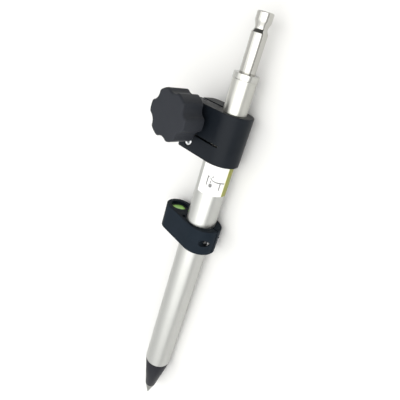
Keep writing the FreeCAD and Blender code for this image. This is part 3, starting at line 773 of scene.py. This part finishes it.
def join_flats(bm: Mesh) -> None:
    """Join up the triangles that lie in one plane.

    Args:
        bm: The mesh.
    """
    bmesh.ops.dissolve_limit(
        bm, angle_limit=math.radians(0.5), use_dissolve_boundaries=False,
        verts=bm.verts[:], edges=bm.edges[:], delimit={"NORMAL"},
    )


def frame_copy(node: str) -> Mesh:
    """Copy a node's mesh, merged and with its flat faces joined up.

    Args:
        node: The node's name.

    Returns:
        The copy.
    """
    bm = bmesh.new()
    bm.from_mesh(frame["nodes"][node].data)
    bmesh.ops.remove_doubles(bm, verts=bm.verts[:], dist=1e-6)
    join_flats(bm)
    return bm


def thread(radius: float, pitch: float, start: float, end: float, flats: int = 40) -> Mesh:
    """Make a threaded rod along the pole's axis.

    Args:
        radius: Radius over the thread, in millimetres.
        pitch: Distance between turns.
        start: Height of its lower end.
        end: Height of its upper end.
        flats: How many flats one turn has.

    Returns:
        The mesh, closed at both ends.
    """
    depth = THREAD_DEPTH * pitch
    turns = int((end - start) / pitch) + 3
    low = start - 1.5 * pitch
    bm = bmesh.new()
    shape = ((radius - depth, 0.0), *((radius, share) for share in THREAD_CREST), (radius - depth, 1.0))
    corners = [bm.verts.new((reach * MM, 0.0, (low + share * pitch) * MM)) for reach, share in shape]
    sides = [bm.edges.new(run) for run in zip(corners, corners[1:])]
    spin(bm, sides, TAU * turns, flats * turns, climb=pitch * MM / flats)
    bmesh.ops.remove_doubles(bm, verts=bm.verts[:], dist=2e-6)
    for height, outer, inner in ((start, False, True), (end, True, False)):
        cut = bmesh.ops.bisect_plane(
            bm, geom=bm.verts[:] + bm.edges[:] + bm.faces[:], dist=1e-8, plane_co=(0, 0, height * MM),
            plane_no=(0, 0, 1), clear_outer=outer, clear_inner=inner,
        )
        rim = [item for item in cut["geom_cut"] if isinstance(item, bmesh.types.BMEdge)]
        bmesh.ops.edgeloop_fill(bm, edges=rim)
    bmesh.ops.recalc_face_normals(bm, faces=bm.faces[:])
    return bm


def joined(meshes: Iterable[Mesh]) -> Mesh:
    """Put several meshes in one, and free them.

    Args:
        meshes: The meshes.

    Returns:
        The mesh that holds them all.
    """
    whole = bmesh.new()
    for part in meshes:
        carrier = bpy.data.meshes.new("carrier")
        part.to_mesh(carrier)
        part.free()
        whole.from_mesh(carrier)
        bpy.data.meshes.remove(carrier)
    return whole


def moved(bm: Mesh, place: Matrix) -> Mesh:
    """Move a whole mesh to a place, and give the same mesh back."""
    bmesh.ops.transform(bm, matrix=place, verts=bm.verts[:])
    return bm


def dress_node(node: str, finish: Finish, axis: Optional[Matrix] = None) -> None:
    """Give one of the frame's own nodes its finish.

    Args:
        node: The node's name.
        finish: Its finish.
        axis: Where the piece's own axis lies, if that isn't the pole's axis.
    """
    mesh = frame["nodes"][node].data
    if not mesh.materials:
        mesh.materials.append(None)
    for index in range(len(mesh.materials)):
        mesh.materials[index] = finish.material(axis)
    log.info("%s keeps its shape, in %s", node, finish.name)


def add_piece(
    name: str,
    bm: Mesh,
    finish: Finish,
    body: Body,
    stands_for: Sequence[str] = (),
    axis: Optional[Matrix] = None,
    crease: float = 30.0,
    flat_faces: bool = False,
) -> bpy.types.Object:
    """Make a finished piece from a mesh and hang it on its body.

    Args:
        name: The piece's name.
        bm: Its mesh, which is freed.
        finish: Its finish.
        body: The body that it rides on.
        stands_for: The nodes that it replaces.
        axis: Where the piece's own axis lies, if that isn't the pole's axis.
        crease: Edges sharper than this stay sharp, in degrees.
        flat_faces: Whether large faces keep their own flat shading beside rounded edges.

    Returns:
        The piece.
    """
    mesh = bpy.data.meshes.new(name)
    bm.to_mesh(mesh)
    bm.free()
    mesh.shade_smooth()
    mesh.set_sharp_from_angle(angle=math.radians(crease))
    mesh.materials.append(finish.material(axis))
    piece = bpy.data.objects.new(name, mesh)
    bpy.context.scene.collection.objects.link(piece)
    if flat_faces:
        modifier = piece.modifiers.new("flat_faces", "WEIGHTED_NORMAL")
        modifier.keep_sharp = True
    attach(piece, body.value)
    if stands_for:
        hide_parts(*stands_for)
    log.info("%s: %d faces, in %s", name, len(mesh.polygons), finish.name)
    return piece


@dataclass(frozen=True)
class Arm:
    """A direction out from the pole.

    Places on it are out along it, across it and up the pole, in millimetres.
    """

    angle: float

    def place(self, reach: float, across: float, level: float, lie_across: bool = False) -> Matrix:
        """Find where a piece goes.

        Args:
            reach: How far out along the arm.
            across: How far across it.
            level: How high.
            lie_across: Whether the piece's own Z points across the arm, and not up.

        Returns:
            The place.
        """
        tip = Matrix.Rotation(-math.pi / 2, 4, "X") if lie_across else Matrix.Identity(4)
        swing = Matrix.Rotation(self.angle, 4, "Z")
        return swing @ Matrix.Translation(Vector((reach, across, level)) * MM) @ tip

    def read(self, spot: Vector) -> tuple[float, float, float]:
        """Give a place in metres as reach, across and level in millimetres."""
        return tuple(Matrix.Rotation(-self.angle, 3, "Z") @ spot / MM)

    def far_side(self, node: str) -> float:
        """Find how far across the arm a node reaches, in millimetres."""
        return max(self.read(vert.co)[1] for vert in frame["nodes"][node].data.vertices)


def middle(node: str) -> Vector:
    """Find the middle of a node's box, in metres."""
    low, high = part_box(node)
    return (low + high) / 2


def span(node: str) -> Pair:
    """Find the heights of a node's lower and upper ends, in millimetres."""
    low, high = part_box(node)
    return low.z / MM, high.z / MM


def section(inner: float, outer: float, low: float, high: float) -> Profile:
    """Give the four corners of a plain ring's section."""
    return [(inner, low), (outer, low), (outer, high), (inner, high)]


def joint(name: str) -> dict:
    """Find one of the frame's joints by name."""
    return next(found for found in frame["joints"] if found["name"] == name)


@dataclass
class SocketScrew:
    """A socket screw with a knurled head.

    Its Z points out of the head, and its origin is under the head.
    """

    head_radius: float
    head_height: float
    shank_radius: float
    shank_length: float
    flats: float
    pitch: float
    knurl: float = 0.1
    columns: int = 72
    ease: float = 0.12
    socket_share: float = 0.45

    def build(self, place: Matrix) -> Mesh:
        """Make the screw's mesh at a place."""
        return moved(joined((self.head(), self.shank())), place)

    def head(self) -> Mesh:
        """Turn the head, knurl its side and sink the hexagon socket.

        Returns:
            The head's mesh.
        """
        top, rim, bevel = self.head_height, self.head_radius, 0.12 * self.head_height
        mouth = self.flats / math.sqrt(3.0) + self.ease
        profile = [
            (0, 0), (rim - self.ease, 0), (rim, self.ease),
            (rim, top - bevel), (rim - bevel, top), (mouth, top),
        ]
        bm = turned(profile, Ends.OPEN, self.columns)
        for vert in bm.verts:
            if vert.co.xy.length > (rim - 0.01) * MM and self.column(vert) % 2:
                vert.co.xy *= 1.0 - self.knurl / rim
        lip = [edge for edge in bm.edges if edge.is_boundary]
        lip = self.step_in(bm, lip, top - 0.1)
        for vert in {vert for edge in lip for vert in edge.verts}:
            turn = math.atan2(vert.co.y, vert.co.x) % (math.pi / 3) - math.pi / 6
            vert.co.xy = vert.co.xy.normalized() * (self.flats / 2 * MM / math.cos(turn))
        lip = self.step_in(bm, lip, top * self.socket_share)
        bmesh.ops.edgeloop_fill(bm, edges=lip)
        bmesh.ops.recalc_face_normals(bm, faces=bm.faces[:])
        return bm

    def column(self, vert: bmesh.types.BMVert) -> int:
        """Number the column of the head that a corner is in."""
        return round(math.atan2(vert.co.y, vert.co.x) / TAU * self.columns)

    @staticmethod
    def step_in(bm: Mesh, lip: list, level: float) -> list:
        """Draw an open lip down to a level.

        Args:
            bm: The mesh.
            lip: The lip's edges.
            level: The height of the new lip, in millimetres.

        Returns:
            The new lip's edges.
        """
        made = bmesh.ops.extrude_edge_only(bm, edges=lip)["geom"]
        for vert in (item for item in made if isinstance(item, bmesh.types.BMVert)):
            vert.co.z = level * MM
        return [item for item in made if isinstance(item, bmesh.types.BMEdge) and item.is_boundary]

    def shank(self) -> Mesh:
        """Cut the thread."""
        return thread(self.shank_radius, self.pitch, -self.shank_length, 0.05, flats=24)


def add_cross_screw(name: str, node: str, screw: SocketScrew, arm: Arm, finish: Finish) -> None:
    """Put a screw across an arm, with its head's top where a node ends.

    Args:
        name: The piece's name.
        node: The node that it replaces.
        screw: The screw.
        arm: The arm that it goes across.
        finish: Its finish.
    """
    reach, _, level = arm.read(middle(node))
    place = arm.place(reach, arm.far_side(node) - screw.head_height, level, True)
    add_piece(name, screw.build(place), finish, Body.LOWER, [node], place)


# The pole's sub-assemblies


@dataclass
class GroundPoint:
    """Steel point and the black tapered holder that carries it on the tube."""

    point_radius: float = 5.3
    tip: tuple[Pair, ...] = ((0.175, 0.03), (0.25, 0.25))
    point_shank: float = 3.9
    holder_radius: float = 12.7
    spigot_radius: float = 11.25
    spigot_bevel: float = 1.0
    hole_radius: float = 3.95
    hole_depth: float = 16.0

    def build(self) -> None:
        """Turn both pieces."""
        foot, end = span("steel_point")
        base, top = span("point_holder")
        shoulder, floor = span("outer_tube")[0], base + self.hole_depth
        point = turned(
            [
                (0, foot), *((radius, foot + rise) for radius, rise in self.tip),
                (self.point_radius, base), (self.point_shank, base), (self.point_shank, end), (0, end),
            ],
            Ends.OPEN,
        )
        add_piece("ground_point", point, POINT_STEEL, Body.LOWER, ["steel_point"])
        holder = turned(
            [
                (self.hole_radius, base), (self.point_radius, base),
                (self.holder_radius, shoulder), (self.spigot_radius, shoulder),
                (self.spigot_radius, top - self.spigot_bevel),
                (self.spigot_radius - self.spigot_bevel, top),
                (0, top), (0, floor), (self.hole_radius, floor),
            ],
            Ends.RING, steps=128, ease=0.12,
        )
        add_piece("tapered_holder", holder, HOLDER_BLACK, Body.LOWER, ["point_holder"])


@dataclass
class OuterTube:
    """Satin silver tube, its guide bush and the printed label round it."""

    radius: float = 12.7
    wall: float = 1.4
    film: Pair = (12.715, 12.82)
    film_edges: Pair = (-52.0, 78.0)
    film_steps: int = 72

    def build(self) -> None:
        """Turn the tube, dress the bush and wrap the label."""
        profile = section(self.radius - self.wall, self.radius, *span("outer_tube"))
        tube = turned(profile, Ends.RING, steps=160, ease=0.2)
        add_piece("silver_outer_tube", tube, ANODISED_TUBE, Body.LOWER, ["outer_tube"])
        dress_node("guide_bush", BUSH_WHITE)
        self.wrap_label()

    def wrap_label(self) -> None:
        """Bend the printed film round the tube, from its left edge to its right edge."""
        low, high = (corner.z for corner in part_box("tube_label"))
        left, right = (math.radians(turn) for turn in self.film_edges)
        inner, outer = (reach * MM for reach in self.film)
        film = bmesh.new()
        corners = [
            film.verts.new((reach * math.sin(left), -reach * math.cos(left), level))
            for reach, level in ((inner, low), (outer, low), (outer, high), (inner, high))
        ]
        rim = [film.edges.new(run) for run in zip(corners, corners[1:] + corners[:1])]
        spin(film, rim, right - left, self.film_steps)
        bmesh.ops.holes_fill(film, edges=film.edges[:], sides=4)
        bmesh.ops.recalc_face_normals(film, faces=film.faces[:])
        add_piece("printed_label", film, LABEL_FILM, Body.LOWER, ["tube_label"])


@dataclass
class LevelBracket:
    """Split bracket on the tube, with the circular level in its far end."""

    arm: Arm
    reach: float
    screw: SocketScrew
    small_screw: SocketScrew
    screw_circle: float = 4.6
    case_radius: float = 7.5
    case_bevel: Pair = (0.25, 0.3)
    case_gap: float = 0.05
    lens_radius: float = 6.4
    lens_gap: float = 0.02
    crown_rise: float = 0.35
    crown_turn: float = 1.2
    bubble_gap: float = 0.05
    bubble_gaps: Pair = (0.04, 0.02)
    ring_radius: float = 2.35
    ring_width: float = 0.22
    ring_drop: Pair = (0.05, 0.01)

    def build(self) -> None:
        """Make the bracket, its screws and the level."""
        bracket = frame_copy("level_bracket")
        ease_corners(bracket, 0.22, above=32.0, segments=2)
        add_piece(
            "split_level_bracket", bracket, BRACKET_BLACK, Body.LOWER, ["level_bracket"],
            flat_faces=True,
        )
        self.build_screws()
        place = self.arm.place(self.reach, 0, 0)
        self.build_case(place)
        self.build_vial(place)

    def build_screws(self) -> None:
        """Make the pinch screw and the three screws under the vial."""
        add_cross_screw(
            "bracket_screw", "bracket_pinch_screw", self.screw, self.arm, SCREW_BLACK,
        )
        level = span("vial_screws")[0] + self.small_screw.head_height
        flip = Matrix.Rotation(math.pi, 4, "X")
        small = []
        for turn in (TAU * index / 3 for index in range(3)):
            out, side = self.screw_circle * math.cos(turn), self.screw_circle * math.sin(turn)
            small.append(self.small_screw.build(self.arm.place(self.reach + out, side, level) @ flip))
        place, screws = self.arm.place(self.reach, 0, 0), joined(small)
        add_piece(
            "vial_case_screws", screws, FITTING_STEEL, Body.LOWER, ["vial_screws"], place,
        )

    def build_case(self, place: Matrix) -> None:
        """Turn the cup that holds the vial, with a step inside its rim.

        Args:
            place: Where the vial's axis lies.
        """
        low, rim = span("vial_case")
        floor, wall = span("vial_base")[0], self.lens_radius + self.case_gap
        out, down = self.case_bevel
        profile = [
            (0, low), (self.case_radius, low), (self.case_radius, rim),
            (wall + out, rim), (wall, rim - down), (wall, floor), (0, floor),
        ]
        case = moved(turned(profile, Ends.OPEN, ease=0.12), place)
        add_piece("level_case", case, CASE_BLACK, Body.LOWER, ["vial_case"], place)
        dress_node("vial_base", VIAL_WHITE, place)
        dress_node("vial_seal", SEAL_BLACK, place)
        dress_node("vial_liquid", LIQUID_GREEN, place)

    def build_vial(self, place: Matrix) -> None:
        """Turn the crowned lens, the bubble under it and the ring printed round the bubble.

        Args:
            place: Where the vial's axis lies.
        """
        low, top = span("vial_lens")
        under, edge = low + self.lens_gap, self.lens_radius - self.lens_gap
        steepest = 1.0 - math.cos(self.crown_turn)
        crown = [
            (self.lens_radius * math.sin(turn), top - self.crown_rise * (1.0 - math.cos(turn)) / steepest)
            for turn in (self.crown_turn * step / 8 for step in range(9))
        ]
        profile = [(0, under), (edge, under), (edge, crown[-1][1]), *reversed(crown)]
        lens = moved(turned(profile, Ends.OPEN), place)
        add_piece("crowned_lens", lens, LENS_CLEAR, Body.LOWER, ["vial_lens"], place)
        near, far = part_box("vial_bubble")
        radius = (far.x - near.x) / 2 / MM - self.bubble_gap
        ceiling, floor = far.z / MM - self.bubble_gaps[1], near.z / MM + self.bubble_gaps[0]
        belly = [
            (radius * math.cos(turn), ceiling - (ceiling - floor) * math.sin(turn))
            for turn in (math.pi / 2 * step / 8 for step in range(8))
        ]
        bubble = moved(turned([(0, ceiling), *belly, (0, floor)], Ends.OPEN, steps=64), place)
        add_piece("level_bubble", bubble, BUBBLE_AIR, Body.LOWER, ["vial_bubble"], place)
        inner, outer = self.ring_radius - self.ring_width / 2, self.ring_radius + self.ring_width / 2
        heights = (under - drop for drop in self.ring_drop)
        ring = turned(section(inner, outer, *heights), Ends.RING, steps=64)
        add_piece("centring_ring", moved(ring, place), RING_INK, Body.LOWER, (), place)


@dataclass
class PoleClamp:
    """Two-jaw clamp: its body, sleeve, threaded bush, pinch screw and set screw."""

    arm: Arm
    knob_reach: float
    knob_level: float
    screw: SocketScrew
    bush_radius: float = 4.0
    bush_bore: float = 3.02
    flange_radius: float = 5.5
    flange: float = 1.2
    bush_start: float = 15.4
    bush_length: float = 13.9
    keeper_across: float = 5.3

    def build(self) -> None:
        """Make the clamp's pieces."""
        body = frame_copy("clamp_body")
        ease_corners(body, 0.2, above=32.0, segments=2)
        add_piece(
            "two_jaw_clamp", body, CLAMP_BLACK, Body.LOWER, ["clamp_body"], flat_faces=True,
        )
        dress_node("grip_sleeve", SLEEVE_BLACK)
        dress_node("stud_keeper", KEEPER_ZINC, self.arm.place(self.knob_reach, self.keeper_across, 0))
        self.build_bush()
        add_cross_screw(
            "clamp_screw", "clamp_pinch_screw", self.screw, self.arm, SCREW_BRIGHT,
        )

    def build_bush(self) -> None:
        """Turn the flanged bush in the far ear."""
        place = self.arm.place(self.knob_reach, -self.bush_start, self.knob_level, True)
        bush = turned(
            [
                (self.bush_bore, -self.flange), (self.flange_radius, -self.flange),
                (self.flange_radius, 0), (self.bush_radius, 0),
                (self.bush_radius, self.bush_length), (self.bush_bore, self.bush_length),
            ],
            Ends.RING, steps=72, ease=0.15,
        )
        bush = moved(bush, place)
        add_piece("flanged_bush", bush, FITTING_STEEL, Body.LOWER, ["clamp_bush"], place)


@dataclass
class LobedKnob:
    """Six-lobed knob with its brass core, its threaded stud and the washer behind it."""

    arm: Arm
    reach: float
    level: float
    stud_radius: float = 2.95
    neck_radius: float = 2.4
    neck: Pair = (2.6, 7.0)
    stud_start: float = -16.0
    stud_end: float = 30.9
    stud_pitch: float = 1.0
    washer_radius: float = 8.0
    washer_bore: float = 3.2
    washer: Pair = (15.45, 16.85)
    recess_radius: float = 8.6
    recess_depth: float = 0.35

    def build(self) -> None:
        """Make the knob's pieces."""
        place = self.arm.place(self.reach, 0, self.level, True)
        knob = frame_copy("knob")
        self.fill_recess(knob, place)
        add_piece(
            "lobed_knob", knob, KNOB_BLACK, Body.KNOB, ["knob"],
            crease=38.0, flat_faces=True,
        )
        dress_node("knob_insert", BRASS, place)
        rods = (
            thread(self.stud_radius, self.stud_pitch, self.stud_start, self.neck[0]),
            turned(section(0, self.neck_radius, *self.neck), Ends.OPEN, steps=48),
            thread(self.stud_radius, self.stud_pitch, self.neck[1], self.stud_end),
        )
        stud = moved(joined(rods), place)
        add_piece("threaded_stud", stud, FITTING_STEEL, Body.KNOB, ["knob_stud"], place)
        profile = section(self.washer_bore, self.washer_radius, *self.washer)
        washer = moved(turned(profile, Ends.RING, ease=0.15), place)
        add_piece(
            "knob_washer_disc", washer, FITTING_STEEL, Body.WASHER, ["thrust_washer"], place,
        )

    def fill_recess(self, knob: Mesh, place: Matrix) -> None:
        """Take the recess out of the knob's face, so that the face is one flat piece.

        Args:
            knob: The knob's mesh.
            place: Where the knob's axis lies.
        """
        to_axis = place.inverted()
        spots = {vert: to_axis @ vert.co for vert in knob.verts}
        floor = max(spot.z for spot in spots.values()) - 2 * self.recess_depth * MM
        reach = (self.recess_radius + 0.1) * MM
        recess = {vert for vert, spot in spots.items() if spot.xy.length < reach and spot.z > floor}
        faces = [face for face in knob.faces if recess.issuperset(face.verts)]
        bmesh.ops.delete(knob, geom=faces, context="FACES")
        bmesh.ops.holes_fill(knob, edges=[edge for edge in knob.edges if edge.is_boundary], sides=0)
        join_flats(knob)


@dataclass
class InnerPole:
    """Telescoping inner tube, the plug and collar in its head, and the grooved prism stub."""

    tube_radius: float = 9.25
    tube_wall: float = 1.2
    collar_radius: float = 9.65
    plug_radius: float = 8.0
    plug_hole: float = 4.05
    stub_radius: float = 6.0
    stub_shank: float = 4.0
    groove: tuple[Pair, ...] = (
        (6.0, 374.0), (5.9, 374.25), (5.25, 375.3), (4.85, 376.0), (4.68, 376.55),
        (4.65, 377.1), (4.68, 377.7), (4.8, 378.3), (5.05, 379.1), (5.4, 380.0),
        (5.7, 380.7), (5.9, 381.3), (5.98, 381.9), (6.0, 382.4),
    )
    clip_groove: Pair = (124.35, 125.45)
    clip_depth: float = 0.3
    collar_bevel: Pair = (0.2, 0.3)
    stub_bevel: float = 0.5

    def build(self) -> None:
        """Make the telescoping pieces."""
        low, high = span("inner_tube")
        bore, notch = self.tube_radius - self.tube_wall, self.tube_radius - self.clip_depth
        start, end = self.clip_groove
        tube = turned(
            [
                (bore, low), (self.tube_radius, low), (self.tube_radius, start), (notch, start),
                (notch, end), (self.tube_radius, end), (self.tube_radius, high), (bore, high),
            ],
            Ends.RING, steps=144, ease=0.08,
        )
        add_piece("silver_inner_tube", tube, INNER_SILVER, Body.UPPER, ["inner_tube"])
        self.build_head(high)
        dress_node("guide_ring", BUSH_WHITE)
        dress_node("retaining_ring", SPRING_STEEL)
        dress_node("inner_end_cap", SLEEVE_BLACK)

    def build_head(self, seat: float) -> None:
        """Turn the collared plug and the stub.

        Args:
            seat: Height of the inner tube's upper end, in millimetres.
        """
        low, collar_top = span("head_plug")
        across, along = self.collar_bevel
        plug = turned(
            [
                (self.plug_hole, low), (self.plug_radius, low), (self.plug_radius, seat),
                (self.collar_radius - across, seat), (self.collar_radius, seat + along),
                (self.collar_radius, collar_top), (self.plug_hole, collar_top),
            ],
            Ends.RING, steps=128, ease=0.18,
        )
        add_piece("collared_plug", plug, COLLAR_SILVER, Body.UPPER, ["head_plug"])
        foot, top = span("prism_stub")
        stub = turned(
            [
                (0, foot), (self.stub_shank, foot), (self.stub_shank, collar_top),
                (self.stub_radius, collar_top), *self.groove, (self.stub_radius, top - self.stub_bevel),
                (self.stub_radius - self.stub_bevel, top), (0, top),
            ],
            Ends.OPEN, steps=128, ease=0.1,
        )
        add_piece("grooved_stub", stub, STUB_STEEL, Body.UPPER, ["prism_stub"])


# The room


@dataclass(frozen=True)
class CameraRig:
    """Where the camera stands, in metres and degrees, and its lens, in millimetres."""

    distance: float = 0.2902
    height: float = 0.377
    pan: float = -1.167
    tilt: float = 25.23
    roll: float = 16.9
    lens: float = 34.74

    def build(self) -> None:
        """Make the camera and look through it."""
        pan, tilt, roll = (math.radians(angle) for angle in (self.pan, self.tilt, self.roll))
        ahead = Vector((math.sin(pan) * math.cos(tilt), math.cos(pan) * math.cos(tilt), -math.sin(tilt)))
        level = Vector((math.cos(pan), -math.sin(pan), 0.0))
        upright = level.cross(ahead)
        right = level * math.cos(roll) + upright * math.sin(roll)
        up = upright * math.cos(roll) - level * math.sin(roll)
        data = bpy.data.cameras.new("camera")
        data.lens = self.lens
        data.sensor_width = 36.0
        data.clip_start = 0.01
        camera = bpy.data.objects.new("camera", data)
        turn = Matrix((right, up, -ahead)).transposed().to_4x4()
        camera.matrix_world = Matrix.Translation((0.0, -self.distance, self.height)) @ turn
        bpy.context.scene.collection.objects.link(camera)
        bpy.context.scene.camera = camera


@dataclass(frozen=True)
class PaleTable:
    """The plain pale table that the pole lies on. It is seen from its top side only.

    The tube's lower edge and the level bracket touch it, so it leans a little from the pole's axis.
    """

    arm: Arm
    touch_low: Pair = (55.0, 12.75)
    touch_high: Pair = (199.6, 15.55)
    half_size: float = 4.0
    colour: Colour = (0.785, 0.782, 0.772)
    patch_level: float = 0.99
    patch_scale: float = 6.0

    def build(self) -> None:
        """Lay the table under the pole."""
        (low, near), (high, far) = self.touch_low, self.touch_high
        lean = Matrix.Rotation(math.atan2(far - near, high - low), 4, "X")
        bm = bmesh.new()
        bmesh.ops.create_grid(bm, x_segments=4, y_segments=4, size=self.half_size)
        moved(bm, self.arm.place(0, -near, low, True) @ lean)
        mesh = bpy.data.meshes.new("pale_table")
        bm.to_mesh(mesh)
        bm.free()
        mesh.materials.append(self.surface())
        table = bpy.data.objects.new("pale_table", mesh)
        bpy.context.scene.collection.objects.link(table)

    def surface(self) -> bpy.types.Material:
        """Dress the table: pale and matt from above, nothing from below.

        Returns:
            The material.
        """
        made = bpy.data.materials.new("pale_table")
        bench = clean_bench(made)
        place = bench.add("ShaderNodeTexCoord").outputs["Object"]
        patch = tuple(part * self.patch_level for part in self.colour)
        shade = bench.blend(bench.noise(place, self.patch_scale), self.colour, patch)
        top = bench.add("ShaderNodeBsdfDiffuse", {"Color": shade})
        under = bench.add("ShaderNodeBsdfTransparent")
        side = bench.add("ShaderNodeNewGeometry").outputs["Backfacing"]
        both = bench.add("ShaderNodeMixShader", {0: side, 1: top.outputs[0], 2: under.outputs[0]})
        bench.add("ShaderNodeOutputMaterial", {"Surface": both.outputs[0]})
        return made


@dataclass(frozen=True)
class SoftLight:
    """A tall soft window of light on the left, in a pale room that is dimmer on the right.

    Angles are round the pole from the front, in degrees, and positive to the right. The room and the
    window are each given as angles and levels, and the window fades towards the floor.
    """

    window_strength: float = 2.85
    window_floor: float = -1.1
    window_full: float = 0.05
    window_top: Pair = (0.28, 0.47)
    ceiling: float = 0.16
    seen: Colour = (0.985, 0.985, 0.975)
    tint: Colour = (1.0, 1.0, 0.985)
    window: tuple[Pair, ...] = (
        (-78, 0.0), (-71, 0.36), (-44, 0.42), (-34, 1.0), (19, 1.0), (36, 0.0),
    )
    room: tuple[Pair, ...] = (
        (-180, 1.0), (-90, 0.95), (-70, 0.75), (4, 0.68), (34, 0.7),
        (60, 0.5), (84, 0.46), (120, 0.7), (180, 1.0),
    )

    def build(self) -> None:
        """Light the world."""
        world = bpy.data.worlds.new("soft_studio")
        bpy.context.scene.world = world
        bench = clean_bench(world)
        toward = bench.add("ShaderNodeTexCoord").outputs["Generated"]
        x, y, z = bench.split(toward)
        angle = bench.sum("ARCTAN2", x, bench.times(y, -1.0))
        share = bench.sum("ADD", bench.sum("DIVIDE", angle, TAU), 0.5)
        rise = bench.add("ShaderNodeMapRange", {0: z, 1: self.window_floor, 2: self.window_full})
        under = bench.fade(z, *self.window_top, 1.0, 0.0)
        strength = bench.times(bench.times(rise.outputs[0], under), self.window_strength)
        window = bench.times(self.levels(bench, share, self.window), strength)
        walls = bench.fade(z, *self.window_top, 1.0, self.ceiling)
        room = bench.times(self.levels(bench, share, self.room), walls)
        level = bench.sum("ADD", room, window)
        lit = bench.add("ShaderNodeBackground", {"Color": self.tint, "Strength": level})
        plain = bench.add("ShaderNodeBackground", {"Color": self.seen})
        eye = bench.add("ShaderNodeLightPath").outputs["Is Camera Ray"]
        both = bench.add("ShaderNodeMixShader", {0: eye, 1: lit.outputs[0], 2: plain.outputs[0]})
        bench.add("ShaderNodeOutputWorld", {"Surface": both.outputs[0]})

    @staticmethod
    def levels(bench: Bench, share: Socket, stops: Profile) -> Socket:
        """Give the level at each angle round the pole.

        Args:
            bench: Adds the nodes.
            share: The angle, as a share of a full turn from the back.
            stops: Angles in degrees, and the level at each.

        Returns:
            The level's socket.
        """
        ramp = bench.add("ShaderNodeValToRGB", {0: share})
        marks = ramp.color_ramp.elements
        while len(marks) < len(stops):
            marks.new(0.5)
        for mark, (turn, level) in zip(marks, stops):
            mark.position = turn / 360.0 + 0.5
            mark.color = (level, level, level, 1.0)
        return ramp.outputs[0]


def clamp_arm() -> tuple[Arm, float, float]:
    """Read the clamp's arm from the knob's joint.

    Returns:
        The arm, and the knob's reach and level in millimetres.
    """
    turn = joint("knob_turn")
    arm = Arm(math.atan2(-turn["axis"][0], turn["axis"][1]))
    reach, _, level = arm.read(Vector(turn["pos_m"]))
    return arm, reach, level


def level_arm() -> tuple[Arm, float]:
    """Read the level bracket's arm, and the vial's reach in millimetres, from the lens."""
    lens = middle("vial_lens")
    return Arm(math.atan2(lens.y, lens.x)), lens.xy.length / MM


def main() -> None:
    """Build the pole's sub-assemblies in order, then the room."""
    logging.basicConfig(level=logging.INFO, format="%(name)s: %(message)s")
    arm, knob_reach, knob_level = clamp_arm()
    bracket_arm, vial_reach = level_arm()
    CameraRig().build()
    GroundPoint().build()
    OuterTube().build()
    LevelBracket(
        bracket_arm, vial_reach,
        screw=SocketScrew(2.7, 3.0, 1.5, 14.0, flats=2.5, pitch=0.5, knurl=0.08),
        small_screw=SocketScrew(1.9, 1.5, 0.95, 4.8, flats=1.3, pitch=0.4, knurl=0.05, columns=48),
    ).build()
    clamp_screw = SocketScrew(3.5, 4.0, 1.95, 23.0, flats=3.0, pitch=0.7)
    PoleClamp(arm, knob_reach, knob_level, clamp_screw).build()
    LobedKnob(arm, knob_reach, knob_level).build()
    InnerPole().build()
    PaleTable(arm).build()
    SoftLight().build()
    bpy.context.scene.view_settings.view_transform = "Standard"


if __name__ == "__main__":
    main()
